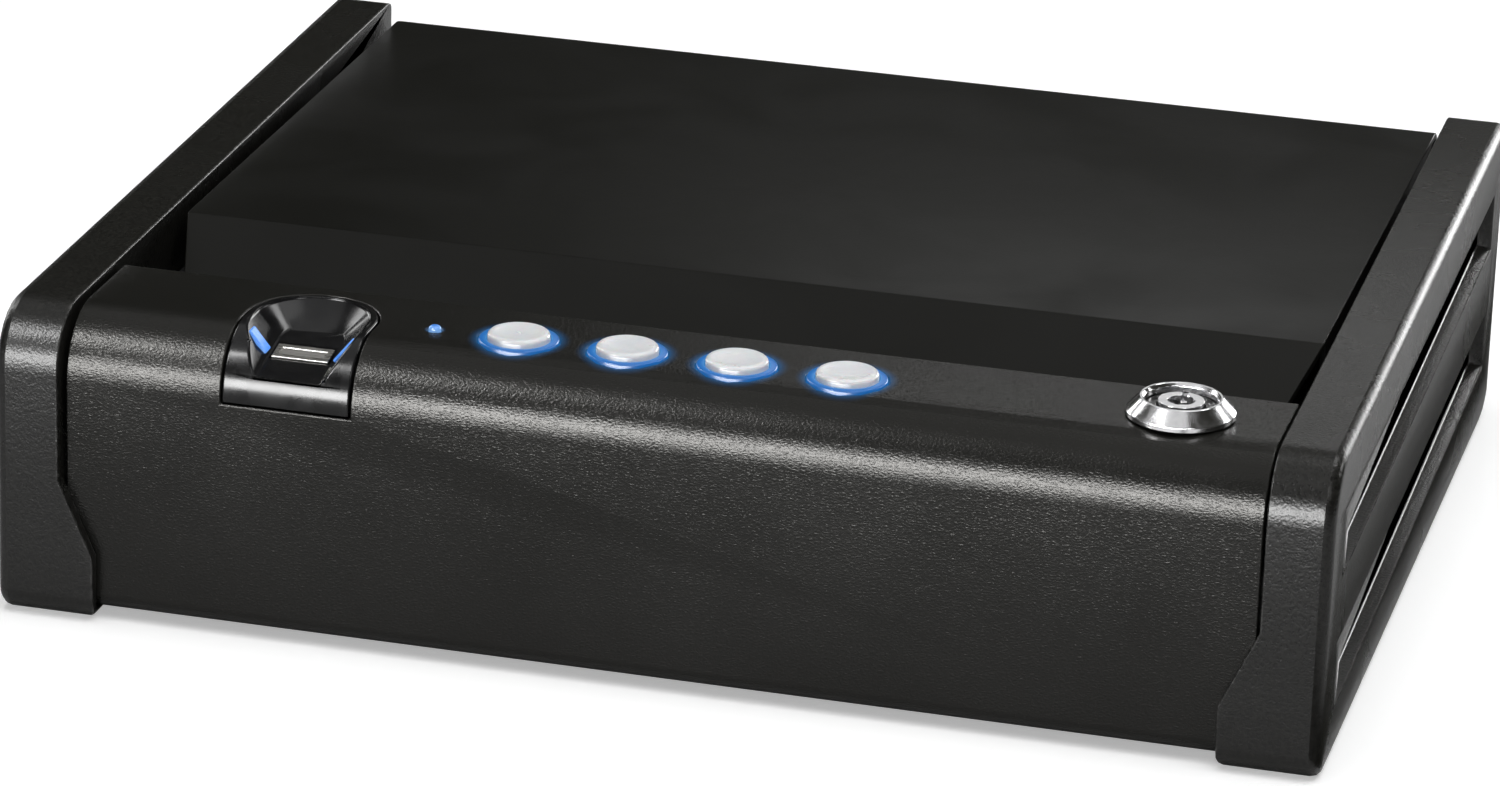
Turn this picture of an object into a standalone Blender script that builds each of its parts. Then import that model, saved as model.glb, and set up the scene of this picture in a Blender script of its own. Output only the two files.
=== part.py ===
"""Biometric safe: a low steel box between two moulded side caps, with a hinged lid behind a front console.

Units are metres and +Z is up. The front faces -Y, and the origin lies on the floor under the middle of the
box. Heights are measured from the floor, and distances "back" are measured from the front of the side caps.
"""

import math

import bmesh
import bpy
from mathutils import Matrix, Vector

# Overall sizes
safe_width = 0.287
safe_depth = 0.233
safe_height = 0.072
seam = 0.0003
running_gap = 0.0006
overrun = 0.002
weld = 0.000001
front = -safe_depth / 2
back = safe_depth / 2
middle = (0.0, 0.0, 0.0)

# Side caps
cap_thickness = 0.014
cap_front_drop = 0.0033
cap_front_height = safe_height - cap_front_drop
cap_front_top_radius = 0.0135
cap_front_bottom_radius = 0.006
cap_back_top_radius = 0.0055
cap_back_bottom_radius = 0.013
cap_edge_radius = 0.0024
cap_back_outer_radius = 0.0052
cap_back_inner_radius = 0.0030
foot_width = 0.0077
foot_side_height = 0.015
foot_slant_height = 0.032
foot_plate = 0.0027
foot_tongue = 0.0019
foot_tongue_reach = 0.014
foot_corner_radius = 0.003
cap_inner = safe_width / 2 - cap_thickness
cap_outer = safe_width / 2

# Steel tray
steel = 0.0015
tray_floor = 0.002
tray_start = 0.008
tray_back_margin = 0.002
tray_end = safe_depth - tray_back_margin
tray_step_run = 0.004
tray_bend = 0.003
tray_outer = cap_inner - seam
tray_inner = tray_outer - steel
floor_top = tray_floor + steel
wall_back = front + tray_end
wall_back_inner = wall_back - steel

# Front console
console_setback = 0.003
console_wall = 0.0025
console_drop = 0.0043
console_top = safe_height - console_drop
console_bottom = 0.0022
console_back = 0.0395
console_front_radius = 0.014
console_bottom_radius = 0.004
console_lip = 0.0045
console_side_gap = 0.0009
console_half = cap_inner - console_side_gap
console_front = front + console_setback
console_rear = front + console_back
console_under = console_top - console_wall

# Lid
lid_drop = 0.004
lid_top = safe_height - lid_drop
lid_side_gap = 0.0005
lid_half = tray_inner - lid_side_gap
valley_width = 0.012
ramp_run = 0.0245
lid_tip = console_back + valley_width
lid_crease = lid_tip + ramp_run
lid_ramp_angle = math.radians(30.0)
lid_crease_radius = 0.0025
lid_back_radius = 0.004
lid_taper = 0.0080
lid_skirt_height = 0.0095
lid_skirt_setback = 0.004
lid_skirt_margin = 0.009
lid_skirt_start = lid_crease + lid_skirt_setback
lid_skirt_end = tray_end - lid_skirt_margin
lid_under = lid_top - steel
lid_tip_height = lid_top - ramp_run * math.tan(lid_ramp_angle)

# Lid hinge
hinge_drop = 0.021
hinge_height = lid_top - hinge_drop
knuckle_radius = 0.0023
leaf_thickness = 0.0012
leaf_height = 0.016
leaf_end_gap = 0.0077
leaf_half = tray_inner - leaf_end_gap
knuckle_count = 11
knuckle_gap = 0.0005
hinge_pin_radius = 0.0012
hinge_margin = 0.0028
leaf_face = wall_back_inner - seam
hinge_y = leaf_face + knuckle_radius - leaf_thickness
hinge_axis = (0.0, hinge_y, hinge_height)

# Lock bulkhead
gutter_tuck = 0.0055
gutter_drop = 0.0115
riser_tuck = 0.0045
shelf_drop = 0.015
bay_depth = 0.018
gutter_front = console_back - gutter_tuck
riser_back = lid_tip + riser_tuck
bulkhead_back = riser_back + bay_depth
shelf_top = lid_top - shelf_drop
gutter_top = shelf_top - gutter_drop
bulkhead_flange = 0.010
bulkhead_half = tray_inner - seam
bulkhead_foot_top = floor_top + seam + steel
shelf_under = shelf_top - steel
riser_inner = front + riser_back + steel
bulkhead_rear = front + bulkhead_back
bulkhead_rear_inner = bulkhead_rear - steel

# Heights of the tray's walls, which follow what stands on them or passes over them
tray_side_drop = 0.014
tray_hinge_gap = 0.003
tray_step_gap = 0.0005
tray_front_height = gutter_top - seam
tray_side_height = lid_top - tray_side_drop
tray_back_height = hinge_height - tray_hinge_gap
tray_step = console_back + tray_step_gap


def clear_scene():
    for obj in list(bpy.data.objects):
        bpy.data.objects.remove(obj, do_unlink=True)


def new_collection(name):
    collection = bpy.data.collections.new(name)
    bpy.context.scene.collection.children.link(collection)
    return collection


clear_scene()
parts = new_collection("biometric safe")
cutters = new_collection("cutters")


def new_material(name, colour, roughness, metallic=0.0, glow=0.0):
    material = bpy.data.materials.new(name)
    material.use_nodes = True
    surface = material.node_tree.nodes["Principled BSDF"]
    surface.inputs["Base Color"].default_value = (*colour, 1.0)
    surface.inputs["Roughness"].default_value = roughness
    surface.inputs["Metallic"].default_value = metallic
    surface.inputs["Emission Color"].default_value = (*colour, 1.0)
    surface.inputs["Emission Strength"].default_value = glow
    return material


cap_plastic = new_material("cap plastic", (0.035, 0.035, 0.034), 0.45)
console_plastic = new_material("grained console plastic", (0.028, 0.028, 0.027), 0.5)
gloss_plastic = new_material("gloss black plastic", (0.008, 0.008, 0.009), 0.08)
lid_paint = new_material("satin black paint", (0.014, 0.014, 0.014), 0.3)
tray_paint = new_material("black powder coat", (0.02, 0.02, 0.02), 0.55)
plain_steel = new_material("zinc plated steel", (0.55, 0.56, 0.57), 0.35, 1.0)
chrome = new_material("chrome", (0.8, 0.8, 0.8), 0.08, 1.0)
lock_black = new_material("lock face black", (0.015, 0.015, 0.015), 0.35)
button_white = new_material("pearl white plastic", (0.78, 0.79, 0.8), 0.25)
ring_blue = new_material("lit blue light guide", (0.02, 0.22, 0.9), 0.3, 0.0, 3.0)
sensor_metal = new_material("sensor metal", (0.5, 0.49, 0.47), 0.25, 1.0)
board_green = new_material("circuit board", (0.02, 0.16, 0.06), 0.4)
chip_black = new_material("chip black", (0.02, 0.02, 0.02), 0.4)
copper = new_material("copper winding", (0.6, 0.28, 0.12), 0.35, 1.0)
foam_grey = new_material("charcoal foam", (0.05, 0.05, 0.052), 0.95)
rubber = new_material("rubber", (0.02, 0.02, 0.02), 0.8)
cell_wrap = new_material("cell wrap", (0.12, 0.12, 0.13), 0.3)
lead_red = new_material("lead insulation", (0.35, 0.02, 0.02), 0.5)

# Columns are the world directions of an outline's own u, v and depth.
outline_axes = {
    "X": Matrix(((0, 0, 1), (1, 0, 0), (0, 1, 0))).to_4x4(),
    "Y": Matrix(((1, 0, 0), (0, 0, -1), (0, 1, 0))).to_4x4(),
    "Z": Matrix.Identity(4),
}
axis_directions = {"X": Vector((1, 0, 0)), "Y": Vector((0, 1, 0)), "Z": Vector((0, 0, 1))}


def finish(bm, name, material=None, pivot=middle):
    """Make a bmesh an object with its origin at pivot. Without a material it is a cutter."""
    bmesh.ops.recalc_face_normals(bm, faces=bm.faces)
    bmesh.ops.translate(bm, verts=bm.verts, vec=-Vector(pivot))
    mesh = bpy.data.meshes.new(name)
    bm.to_mesh(mesh)
    bm.free()
    obj = bpy.data.objects.new(name, mesh)
    obj.location = pivot
    if material is None:
        cutters.objects.link(obj)
        obj.hide_render = True
        obj.display_type = "WIRE"
    else:
        parts.objects.link(obj)
        mesh.materials.append(material)
    return obj


def box(name, low, high, material=None, pivot=middle):
    size = Vector(high) - Vector(low)
    centre = (Vector(high) + Vector(low)) / 2
    bm = bmesh.new()
    bmesh.ops.create_cube(bm, size=1.0, matrix=Matrix.Translation(centre) @ Matrix.Diagonal((*size, 1.0)))
    return finish(bm, name, material, pivot)


def rod(name, start, end, radius, sides, material=None, pivot=middle):
    """A round bar from start to end."""
    line = Vector(end) - Vector(start)
    turn = line.to_track_quat("Z", "Y").to_matrix().to_4x4()
    bm = bmesh.new()
    bmesh.ops.create_cone(
        bm,
        cap_ends=True,
        segments=sides,
        radius1=radius,
        radius2=radius,
        depth=line.length,
        matrix=Matrix.Translation((Vector(start) + Vector(end)) / 2) @ turn,
    )
    return finish(bm, name, material, pivot)


def turned(name, centre, profile, steps, material=None, ring=False):
    """Turn (radius, height) points about the vertical through centre. A ring's profile closes on itself."""
    mesh = bpy.data.meshes.new(name)
    links = [(index, index + 1) for index in range(len(profile) - 1)]
    if ring:
        links.append((len(profile) - 1, 0))
    mesh.from_pydata([(radius, 0.0, height) for radius, height in profile], links, [])
    obj = bpy.data.objects.new(name, mesh)
    obj.location = centre
    screw = obj.modifiers.new("turn", "SCREW")
    screw.steps = steps
    screw.render_steps = steps
    screw.use_merge_vertices = True
    screw.merge_threshold = weld
    screw.use_smooth_shade = False
    if material is None:
        cutters.objects.link(obj)
        obj.hide_render = True
        obj.display_type = "WIRE"
    else:
        parts.objects.link(obj)
        mesh.materials.append(material)
    return obj


def evaluated_bmesh(obj):
    """The object's finished mesh in world space, welded."""
    bpy.context.view_layer.update()
    evaluated = obj.evaluated_get(bpy.context.evaluated_depsgraph_get())
    mesh = bpy.data.meshes.new_from_object(evaluated)
    bm = bmesh.new()
    bm.from_mesh(mesh)
    bmesh.ops.remove_doubles(bm, verts=bm.verts, dist=weld)
    bmesh.ops.transform(bm, matrix=obj.matrix_world, verts=bm.verts)
    bpy.data.meshes.remove(mesh)
    return bm


def extruded(name, points, start, end, axis, material=None, pivot=middle):
    """Extrude a flat outline: (y, z) points along X, (x, z) points along Y or (x, y) points along Z."""
    curve = bpy.data.curves.new(name + " outline", "CURVE")
    curve.dimensions = "2D"
    curve.fill_mode = "BOTH"
    curve.extrude = (end - start) / 2
    spline = curve.splines.new("POLY")
    spline.points.add(len(points) - 1)
    for point, (u, v) in zip(spline.points, points):
        point.co = (u, v, 0.0, 1.0)
    spline.use_cyclic_u = True
    guide = bpy.data.objects.new(name + " outline", curve)
    cutters.objects.link(guide)
    guide.matrix_world = Matrix.Translation(axis_directions[axis] * (start + end) / 2) @ outline_axes[axis]
    bm = evaluated_bmesh(guide)
    bpy.data.objects.remove(guide, do_unlink=True)
    return finish(bm, name, material, pivot)


def rounded(corners, steps):
    """Turn (u, v, radius) corners into points, with an arc at each corner that has a radius."""
    points = []
    for index, (u, v, radius) in enumerate(corners):
        here = Vector((u, v))
        if radius == 0:
            points.append(here)
            continue
        before = (Vector(corners[index - 1][:2]) - here).normalized()
        after = (Vector(corners[(index + 1) % len(corners)][:2]) - here).normalized()
        half = before.angle(after) / 2
        centre = here + (before + after).normalized() * radius / math.sin(half)
        first = here + before * radius / math.tan(half) - centre
        last = here + after * radius / math.tan(half) - centre
        start = math.atan2(first.y, first.x)
        sweep = (math.atan2(last.y, last.x) - start + math.pi) % (2 * math.pi) - math.pi
        for step in range(steps + 1):
            angle = start + sweep * step / steps
            points.append(centre + Vector((math.cos(angle), math.sin(angle))) * radius)
    return points


def arc(u, v, radius, start, end, steps):
    """Points on an arc, with its angles in degrees."""
    angles = [math.radians(start + (end - start) * step / steps) for step in range(steps + 1)]
    return [Vector((u + radius * math.cos(angle), v + radius * math.sin(angle))) for angle in angles]


def folded_sheet(name, path, half, thickness, material=None, pivot=middle):
    """A bent sheet from -half to half along X. The (y, z) path is the face on the walker's left."""
    bm = bmesh.new()
    points = [bm.verts.new((-half, y, z)) for y, z in path]
    edges = [bm.edges.new(pair) for pair in zip(points, points[1:])]
    made = bmesh.ops.extrude_edge_only(bm, edges=edges)
    moved = [item for item in made["geom"] if isinstance(item, bmesh.types.BMVert)]
    bmesh.ops.translate(bm, verts=moved, vec=(2 * half, 0.0, 0.0))
    bm.normal_update()
    first = Vector(path[1]) - Vector(path[0])
    left = Vector((0.0, -first.y, first.x))
    if edges[0].link_faces[0].normal.dot(left) < 0:
        bmesh.ops.reverse_faces(bm, faces=bm.faces)
    bmesh.ops.translate(bm, verts=bm.verts, vec=-Vector(pivot))
    mesh = bpy.data.meshes.new(name)
    bm.to_mesh(mesh)
    bm.free()
    obj = bpy.data.objects.new(name, mesh)
    obj.location = pivot
    parts.objects.link(obj)
    mesh.materials.append(material)
    wall = obj.modifiers.new("wall", "SOLIDIFY")
    wall.thickness = thickness
    wall.offset = -1.0
    wall.use_even_offset = True
    return obj


def boolean(target, other, operation, solver="EXACT"):
    modifier = target.modifiers.new(operation.lower() + " " + other.name, "BOOLEAN")
    modifier.operation = operation
    modifier.object = other
    modifier.solver = solver


def cut(target, *others, solver="EXACT"):
    for other in others:
        boolean(target, other, "DIFFERENCE", solver)


def join(target, *others):
    for other in others:
        boolean(target, other, "UNION")


def copies(name, source, places, material=None, pivot=middle):
    """One object that holds a separate copy of source at each matrix. The source is removed."""
    bm = bmesh.new()
    pattern = evaluated_bmesh(source)
    shape = bpy.data.meshes.new(name + " pattern")
    pattern.to_mesh(shape)
    pattern.free()
    for place in places:
        shape.transform(place)
        bm.from_mesh(shape)
        shape.transform(place.inverted())
    bpy.data.meshes.remove(shape)
    bpy.data.objects.remove(source, do_unlink=True)
    return finish(bm, name, material, pivot)


def repeated(names, source, places, material, pivot=middle):
    """One named object at each matrix, each a copy of source. The source is removed."""
    pattern = evaluated_bmesh(source)
    bpy.data.objects.remove(source, do_unlink=True)
    for name, place in zip(names, places):
        bm = pattern.copy()
        bmesh.ops.transform(bm, matrix=place, verts=bm.verts)
        finish(bm, name, material, pivot)
    pattern.free()


def numbered(name, count):
    return [name + "_" + str(index + 1) for index in range(count)]


def at(x, y, z, direction=(0, 0, 1)):
    """A matrix that moves a piece made at the origin and turns its +Z to a direction."""
    turn = axis_directions["Z"].rotation_difference(Vector(direction))
    return Matrix.Translation((x, y, z)) @ turn.to_matrix().to_4x4()


def smooth(obj, degrees=35.0):
    obj.data.shade_smooth()
    obj.data.set_sharp_from_angle(angle=math.radians(degrees))


# Fasteners: a pan head screw, made at the origin with its head above zero
fastener_sides = 12
screw_radius = 0.0015
screw_head_radius = 0.0027
screw_head_height = 0.0018
screw_hole_radius = screw_radius + seam
head_round_share = 0.75


def screw_profile(length):
    return [
        (0.0, screw_head_height),
        (screw_head_radius * head_round_share, screw_head_height),
        (screw_head_radius, screw_head_height * (1 - head_round_share)),
        (screw_head_radius, 0.0),
        (screw_radius, 0.0),
        (screw_radius, -length),
        (0.0, -length),
    ]


def screws(names, places, length):
    pattern = turned("screw pattern", middle, screw_profile(length), fastener_sides)
    repeated(names, pattern, places, plain_steel)


def holes(name, places, length, radius):
    """Cutters for a set of holes, from one overrun above each place to the given depth."""
    pattern = rod(name + " pattern", (0.0, 0.0, overrun), (0.0, 0.0, -length), radius, fastener_sides)
    return copies(name, pattern, places)


# Side caps: an outline with rounded outer edges, a foot that wraps the console, two grooves and ribbed hollows
groove_start = 0.014
groove_margin = 0.017
groove_end = safe_depth - groove_margin
groove_depth = 0.0032
groove_bank = 0.0009
groove_ramp = 0.024
groove_height_shares = {
    "upper": (0.5625, 0.7708, 0.6250, 0.8056),
    "lower": (0.1528, 0.3681, 0.2222, 0.4028),
}
pocket_run = 0.032
pocket_start = groove_end - pocket_run
pocket_depth = 0.008
pocket_inset = 0.0012
core_start = 0.024
core_margin = 0.008
core_drop = 0.023
core_end = pocket_start - core_margin
core_low = 0.007
core_high = safe_height - core_drop
core_depth = 0.0074
core_rib = 0.0020
core_columns = 6
core_rows = 2
cap_corner_steps = 6
cap_back_corner_steps = 4
cap_screw_length = 0.0095
cap_screw_depth = 0.0085
cap_screw_shares = ((0.0687, 0.3472), (0.8498, 0.5069))
cap_screw_places = [(depth * safe_depth, height * safe_height) for depth, height in cap_screw_shares]


def cap_outline():
    return rounded(
        [
            (front, 0.0, cap_front_bottom_radius),
            (front, cap_front_height, cap_front_top_radius),
            (back, safe_height, cap_back_top_radius),
            (back, 0.0, cap_back_bottom_radius),
        ],
        cap_corner_steps,
    )


def groove_cutter(name, side, heights):
    """A long channel with sloping banks, whose floor runs out to the surface at the front end."""
    low_front, high_front, low_back, high_back = heights
    rim = [
        (front + groove_start, low_front),
        (front + groove_end, low_back),
        (front + groove_end, high_back),
        (front + groove_start, high_front),
    ]
    bed = [
        (front + groove_start + groove_ramp, low_front + groove_bank),
        (front + groove_end - groove_bank, low_back + groove_bank),
        (front + groove_end - groove_bank, high_back - groove_bank),
        (front + groove_start + groove_ramp, high_front - groove_bank),
    ]
    bm = bmesh.new()
    levels = []
    for points, x in ((rim, cap_outer + overrun), (rim, cap_outer), (bed, cap_outer - groove_depth)):
        levels.append([bm.verts.new((side * x, y, z)) for y, z in points])
    bm.faces.new(levels[0])
    bm.faces.new(levels[-1])
    for outer, inner in zip(levels, levels[1:]):
        for index in range(len(rim)):
            following = (index + 1) % len(rim)
            bm.faces.new((outer[index], outer[following], inner[following], inner[index]))
    bmesh.ops.triangulate(bm, faces=bm.faces)
    return finish(bm, name)


def span(side, one, other):
    """Two distances from the middle as a low and a high x on one side."""
    return sorted((side * one, side * other))


def side_cap(name, side):
    foot_edge = cap_inner - foot_width
    cap = extruded(name, cap_outline(), *span(side, foot_edge, cap_outer), "X", cap_plastic)
    bm = bmesh.new()
    bm.from_mesh(cap.data)
    rim = [edge for edge in bm.edges if all(abs(vert.co.x) > cap_outer - weld for vert in edge.verts)]
    rim = [edge for edge in rim if len({abs(face.normal.x) > 0.5 for face in edge.link_faces}) == 2]
    bmesh.ops.bevel(bm, geom=rim, offset=cap_edge_radius, segments=3, profile=0.5, affect="EDGES", material=-1)
    bm.to_mesh(cap.data)
    bm.free()

    # Inside the cap's inner face only the foot stays: a front plate with a slanted edge, and a tongue below
    inside_low, inside_high = span(side, foot_edge - overrun, cap_inner)
    behind_foot = box(
        name + " behind foot",
        (inside_low, front + foot_tongue_reach, -overrun),
        (inside_high, back + overrun, safe_height + overrun),
    )
    over_tongue = box(
        name + " over tongue",
        (inside_low, front + foot_plate, foot_tongue),
        (inside_high, front + 2 * foot_tongue_reach, safe_height + overrun),
    )
    over_foot = extruded(
        name + " over foot",
        [
            (side * cap_inner, foot_slant_height),
            (side * foot_edge, foot_side_height),
            (side * (foot_edge - overrun), foot_side_height),
            (side * (foot_edge - overrun), safe_height + overrun),
            (side * cap_inner, safe_height + overrun),
        ],
        front - overrun,
        front + foot_tongue_reach,
        "Y",
    )
    corner = [
        (side * u, v)
        for u, v in arc(foot_edge + foot_corner_radius, foot_corner_radius, foot_corner_radius, 180, 270, 3)
    ]
    foot_corner = extruded(
        name + " foot corner",
        [
            (side * (foot_edge - overrun), foot_corner_radius),
            *corner,
            (side * (foot_edge + foot_corner_radius), -overrun),
            (side * (foot_edge - overrun), -overrun),
        ],
        front - overrun,
        front + 2 * foot_tongue_reach,
        "Y",
    )
    cut(cap, behind_foot, over_tongue, over_foot, foot_corner, solver="MANIFOLD")

    # The back end is rounded in plan, more on its outer side
    for label, face, radius, inwards in (
        ("outer", cap_outer, cap_back_outer_radius, -1),
        ("inner", cap_inner, cap_back_inner_radius, 1),
    ):
        centre = face + inwards * radius
        start = 0 if inwards < 0 else 180
        beyond = face - inwards * overrun
        back_corner = extruded(
            name + " back corner " + label,
            [
                *[(side * u, v) for u, v in arc(centre, back - radius, radius, start, 90, cap_back_corner_steps)],
                (side * centre, back + overrun),
                (side * beyond, back + overrun),
                (side * beyond, back - radius),
            ],
            -overrun,
            safe_height + overrun,
            "Z",
        )
        cut(cap, back_corner, solver="MANIFOLD")

    for label, shares in groove_height_shares.items():
        heights = [share * safe_height for share in shares]
        low_back, high_back = heights[2:]
        x_low, x_high = span(side, cap_outer - pocket_depth, cap_outer + overrun)
        pocket = box(
            name + " pocket " + label,
            (x_low, front + pocket_start, low_back + pocket_inset),
            (x_high, front + groove_end - pocket_inset, high_back - pocket_inset),
        )
        groove = groove_cutter(name + " groove " + label, side, heights)
        cut(cap, pocket, groove, solver="MANIFOLD")
    cell_run = (core_end - core_start + core_rib) / core_columns
    cell_rise = (core_high - core_low + core_rib) / core_rows
    core_cell = box(
        name + " core cell",
        (-overrun, 0.0, 0.0),
        (core_depth, cell_run - core_rib, cell_rise - core_rib),
    )
    if side < 0:
        core_cell.location.x = -core_depth + overrun
    cell_places = [
        (front + core_start + column * cell_run, core_low + row * cell_rise)
        for column in range(core_columns)
        for row in range(core_rows)
    ]
    core = copies(name + " core", core_cell, [at(side * cap_inner, y, z) for y, z in cell_places])
    drilled = [at(side * cap_inner, front + y, z, (-side, 0, 0)) for y, z in cap_screw_places]
    screw_holes = holes(name + " screw holes", drilled, cap_screw_depth, screw_hole_radius)
    cut(cap, core, screw_holes, solver="MANIFOLD")


side_cap("side_cap_left", -1)
side_cap("side_cap_right", 1)

# Steel tray: floor and four walls, with bolt-down holes in the floor
bolt_hole_radius = 0.0035
bolt_shares = ((0.6564, 0.4807), (0.6564, 0.8584))
bolt_places = [(across * cap_inner, depth * safe_depth) for across, depth in bolt_shares]
console_screw_shares = (-0.7776, 0.6532)
console_screw_x = [share * console_half for share in console_screw_shares]
console_screw_drop = 0.0112
console_screw_z = tray_front_height - console_screw_drop
console_screw_length = 0.0045
rivet_shares = (-0.8333, -0.4167, 0.0, 0.4167, 0.8333)
rivet_x = [share * leaf_half for share in rivet_shares]
rivet_drop = 0.011
bulkhead_screw_inset = 0.0224
bulkhead_screw_x = (bulkhead_screw_inset - bulkhead_half, bulkhead_half - bulkhead_screw_inset)
bulkhead_screw_y = front + bulkhead_back + bulkhead_flange / 2
cap_screw_seat = tray_inner - seam

tray_outline = rounded(
    [
        (front + tray_start, tray_floor, 0),
        (front + tray_start, tray_front_height, 0),
        (front + tray_step, tray_front_height, 0),
        (front + tray_step + tray_step_run, tray_side_height, 0),
        (front + lid_skirt_end, tray_side_height, 0),
        (wall_back - tray_step_run, tray_back_height, 0),
        (wall_back, tray_back_height, 0),
        (wall_back, tray_floor, tray_bend),
    ],
    3,
)
tray = extruded("base_tray", tray_outline, -tray_outer, tray_outer, "X", tray_paint)
tray_inside = box(
    "tray inside",
    (-tray_inner, front + tray_start + steel, floor_top),
    (tray_inner, wall_back_inner, safe_height),
)
cap_screw_spots = [
    at(side * cap_screw_seat, front + y, z, (-side, 0, 0)) for side in (-1, 1) for y, z in cap_screw_places
]
console_screw_spots = [
    at(x, front + tray_start + steel + seam, console_screw_z, (0, 1, 0)) for x in console_screw_x
]
base_rivet_spots = [at(x, wall_back + seam, hinge_height - rivet_drop, (0, 1, 0)) for x in rivet_x]
bulkhead_screw_spots = [at(x, bulkhead_screw_y, bulkhead_foot_top + seam) for x in bulkhead_screw_x]
bolt_spots = [at(side * x, front + y, floor_top) for side in (-1, 1) for x, y in bolt_places]
through_wall = steel + 2 * overrun
cut(
    tray,
    tray_inside,
    holes("tray cap screw holes", cap_screw_spots, through_wall, screw_hole_radius),
    holes("tray console screw holes", console_screw_spots, through_wall, screw_hole_radius),
    holes("tray rivet holes", base_rivet_spots, through_wall, screw_hole_radius),
    holes("tray bulkhead screw holes", bulkhead_screw_spots, 2 * steel + 2 * overrun, screw_hole_radius),
    holes("tray bolt holes", bolt_spots, through_wall, bolt_hole_radius),
)
screws(numbered("side_cap_screw", len(cap_screw_spots)), cap_screw_spots, cap_screw_length)
screws(numbered("console_screw", len(console_screw_spots)), console_screw_spots, console_screw_length)
bulkhead_screw_length = 2 * steel + 2 * seam
screws(numbered("bulkhead_screw", len(bulkhead_screw_spots)), bulkhead_screw_spots, bulkhead_screw_length)

# Rubber feet under the tray floor
rubber_foot_radius = 0.006
rubber_foot_shares = ((0.8108, 0.1288), (0.8108, 0.8798))
rubber_foot_places = [(across * cap_inner, depth * safe_depth) for across, depth in rubber_foot_shares]
foot_pattern = rod(
    "foot pattern", middle, (0.0, 0.0, tray_floor - seam), rubber_foot_radius, fastener_sides
)
foot_spots = [at(side * x, front + y, 0.0) for side in (-1, 1) for x, y in rubber_foot_places]
repeated(numbered("rubber_foot", len(foot_spots)), foot_pattern, foot_spots, rubber)

# Controls on the console's top: reader, status light, four keys and the key lock
controls_back = 0.0225
controls_y = front + controls_back
reader_place_share = -0.6205
status_place_share = -0.4133
key_place_shares = (-0.2698, -0.0855, 0.0988, 0.2831)
lock_place_share = 0.8274
reader_x = reader_place_share * console_half
status_x = status_place_share * console_half
lock_x = lock_place_share * console_half
lock_back = 0.0245
lock_y = front + lock_back
key_places = [(share * console_half, controls_y) for share in key_place_shares]

# Light rings round the keys
ring_radius = 0.0085
ring_bore = 0.00695
ring_proud = 0.0004
ring_drop = 0.0045
round_sides = 28

# Keys
key_radius = 0.00665
key_height = 0.0019
key_dish_radius = 0.0050
key_dish = 0.00030
key_edge = 0.0009
key_skirt = 0.0042
key_stem_radius = 0.0020
key_stem = 0.0058
key_travel = 0.0008
key_dot_radius = 0.0006

# Fingerprint reader insert
reader_half = 0.0139
reader_height = 0.0145
reader_bottom = console_top - reader_height
reader_reach = 0.0211
reader_arc_y = front + reader_reach
reader_gap = 0.0004
reader_proud = 0.0001

# Circuit board behind the keys, between the reader and the lock
board_thickness = 0.0016
board_drop = 0.0111
board_top = console_top - board_drop
board_reader_gap = 0.0039
board_end = 0.0256
board_front_gap = 0.0055
board_rear_gap = 0.001
board_left = reader_x + reader_half + board_reader_gap
board_right = key_places[-1][0] + board_end
board_front = console_front + console_wall + board_front_gap
board_rear = console_rear - console_wall - board_rear_gap
board_boss_radius = 0.0026
board_pin_radius = 0.0012
board_pin_head = 0.0008
board_boss_inset = 0.006
board_boss_setback = 0.0035

# Key lock
barrel_radius = 0.0080
barrel_length = 0.0280
bezel_radius = 0.0114
bezel_rim_radius = 0.00865
bezel_mouth_radius = 0.0081
bezel_bore = 0.0075
bezel_height = 0.0039
bezel_band = 0.0010
lock_base = console_top + seam

# Front console: a bent shell with openings for the controls, and bosses for the board and the screws
console_arc_steps = 8
console_path = rounded(
    [
        (console_front + console_lip, console_bottom, 0),
        (console_front, console_bottom, console_bottom_radius),
        (console_front, console_top, console_front_radius),
        (console_rear, console_top, 0),
        (console_rear, gutter_top + seam, 0),
    ],
    console_arc_steps,
)
console = folded_sheet("front_console", console_path, console_half, console_wall, console_plastic)


def reader_plan(grow):
    """The reader's outline from above: straight sides and a round back."""
    half = reader_half + grow
    points = arc(reader_x, reader_arc_y, half, 0.0, 180.0, 16)
    return [(reader_x + half, front - overrun), *points, (reader_x - half, front - overrun)]


reader_opening = extruded(
    "reader opening",
    reader_plan(reader_gap),
    reader_bottom - reader_gap,
    safe_height,
    "Z",
)
key_opening = holes(
    "key openings",
    [at(x, y, console_top) for x, y in key_places],
    console_wall + overrun,
    ring_radius + seam,
)
status_radius = 0.00135
status_opening = rod(
    "status opening",
    (status_x, controls_y, console_under - overrun),
    (status_x, controls_y, console_top + overrun),
    status_radius + seam,
    fastener_sides,
)
lock_opening = rod(
    "lock opening",
    (lock_x, lock_y, console_under - overrun),
    (lock_x, lock_y, console_top + overrun),
    barrel_radius + seam,
    round_sides,
)
board_spots = [
    at(x, y, board_top)
    for x in (board_left + board_boss_inset, board_right - board_boss_inset)
    for y in (board_front + board_boss_setback, board_rear - board_boss_setback)
]
boss_pattern = turned(
    "boss pattern",
    middle,
    [
        (0.0, console_under - board_top + overrun / 2),
        (board_boss_radius, console_under - board_top + overrun / 2),
        (board_boss_radius, seam),
        (board_pin_radius, seam),
        (board_pin_radius, -board_thickness - board_pin_head),
        (0.0, -board_thickness - board_pin_head),
    ],
    fastener_sides,
)
board_bosses = copies("board bosses", boss_pattern, board_spots)
console_boss_radius = 0.0034
console_boss_reach = tray_start - console_setback - seam
console_boss_pattern = rod(
    "console boss pattern",
    middle,
    (0.0, 0.0, console_boss_reach - console_wall / 2),
    console_boss_radius,
    fastener_sides,
)
console_boss_spots = [at(x, front + tray_start - seam, console_screw_z, (0, -1, 0)) for x in console_screw_x]
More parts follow.
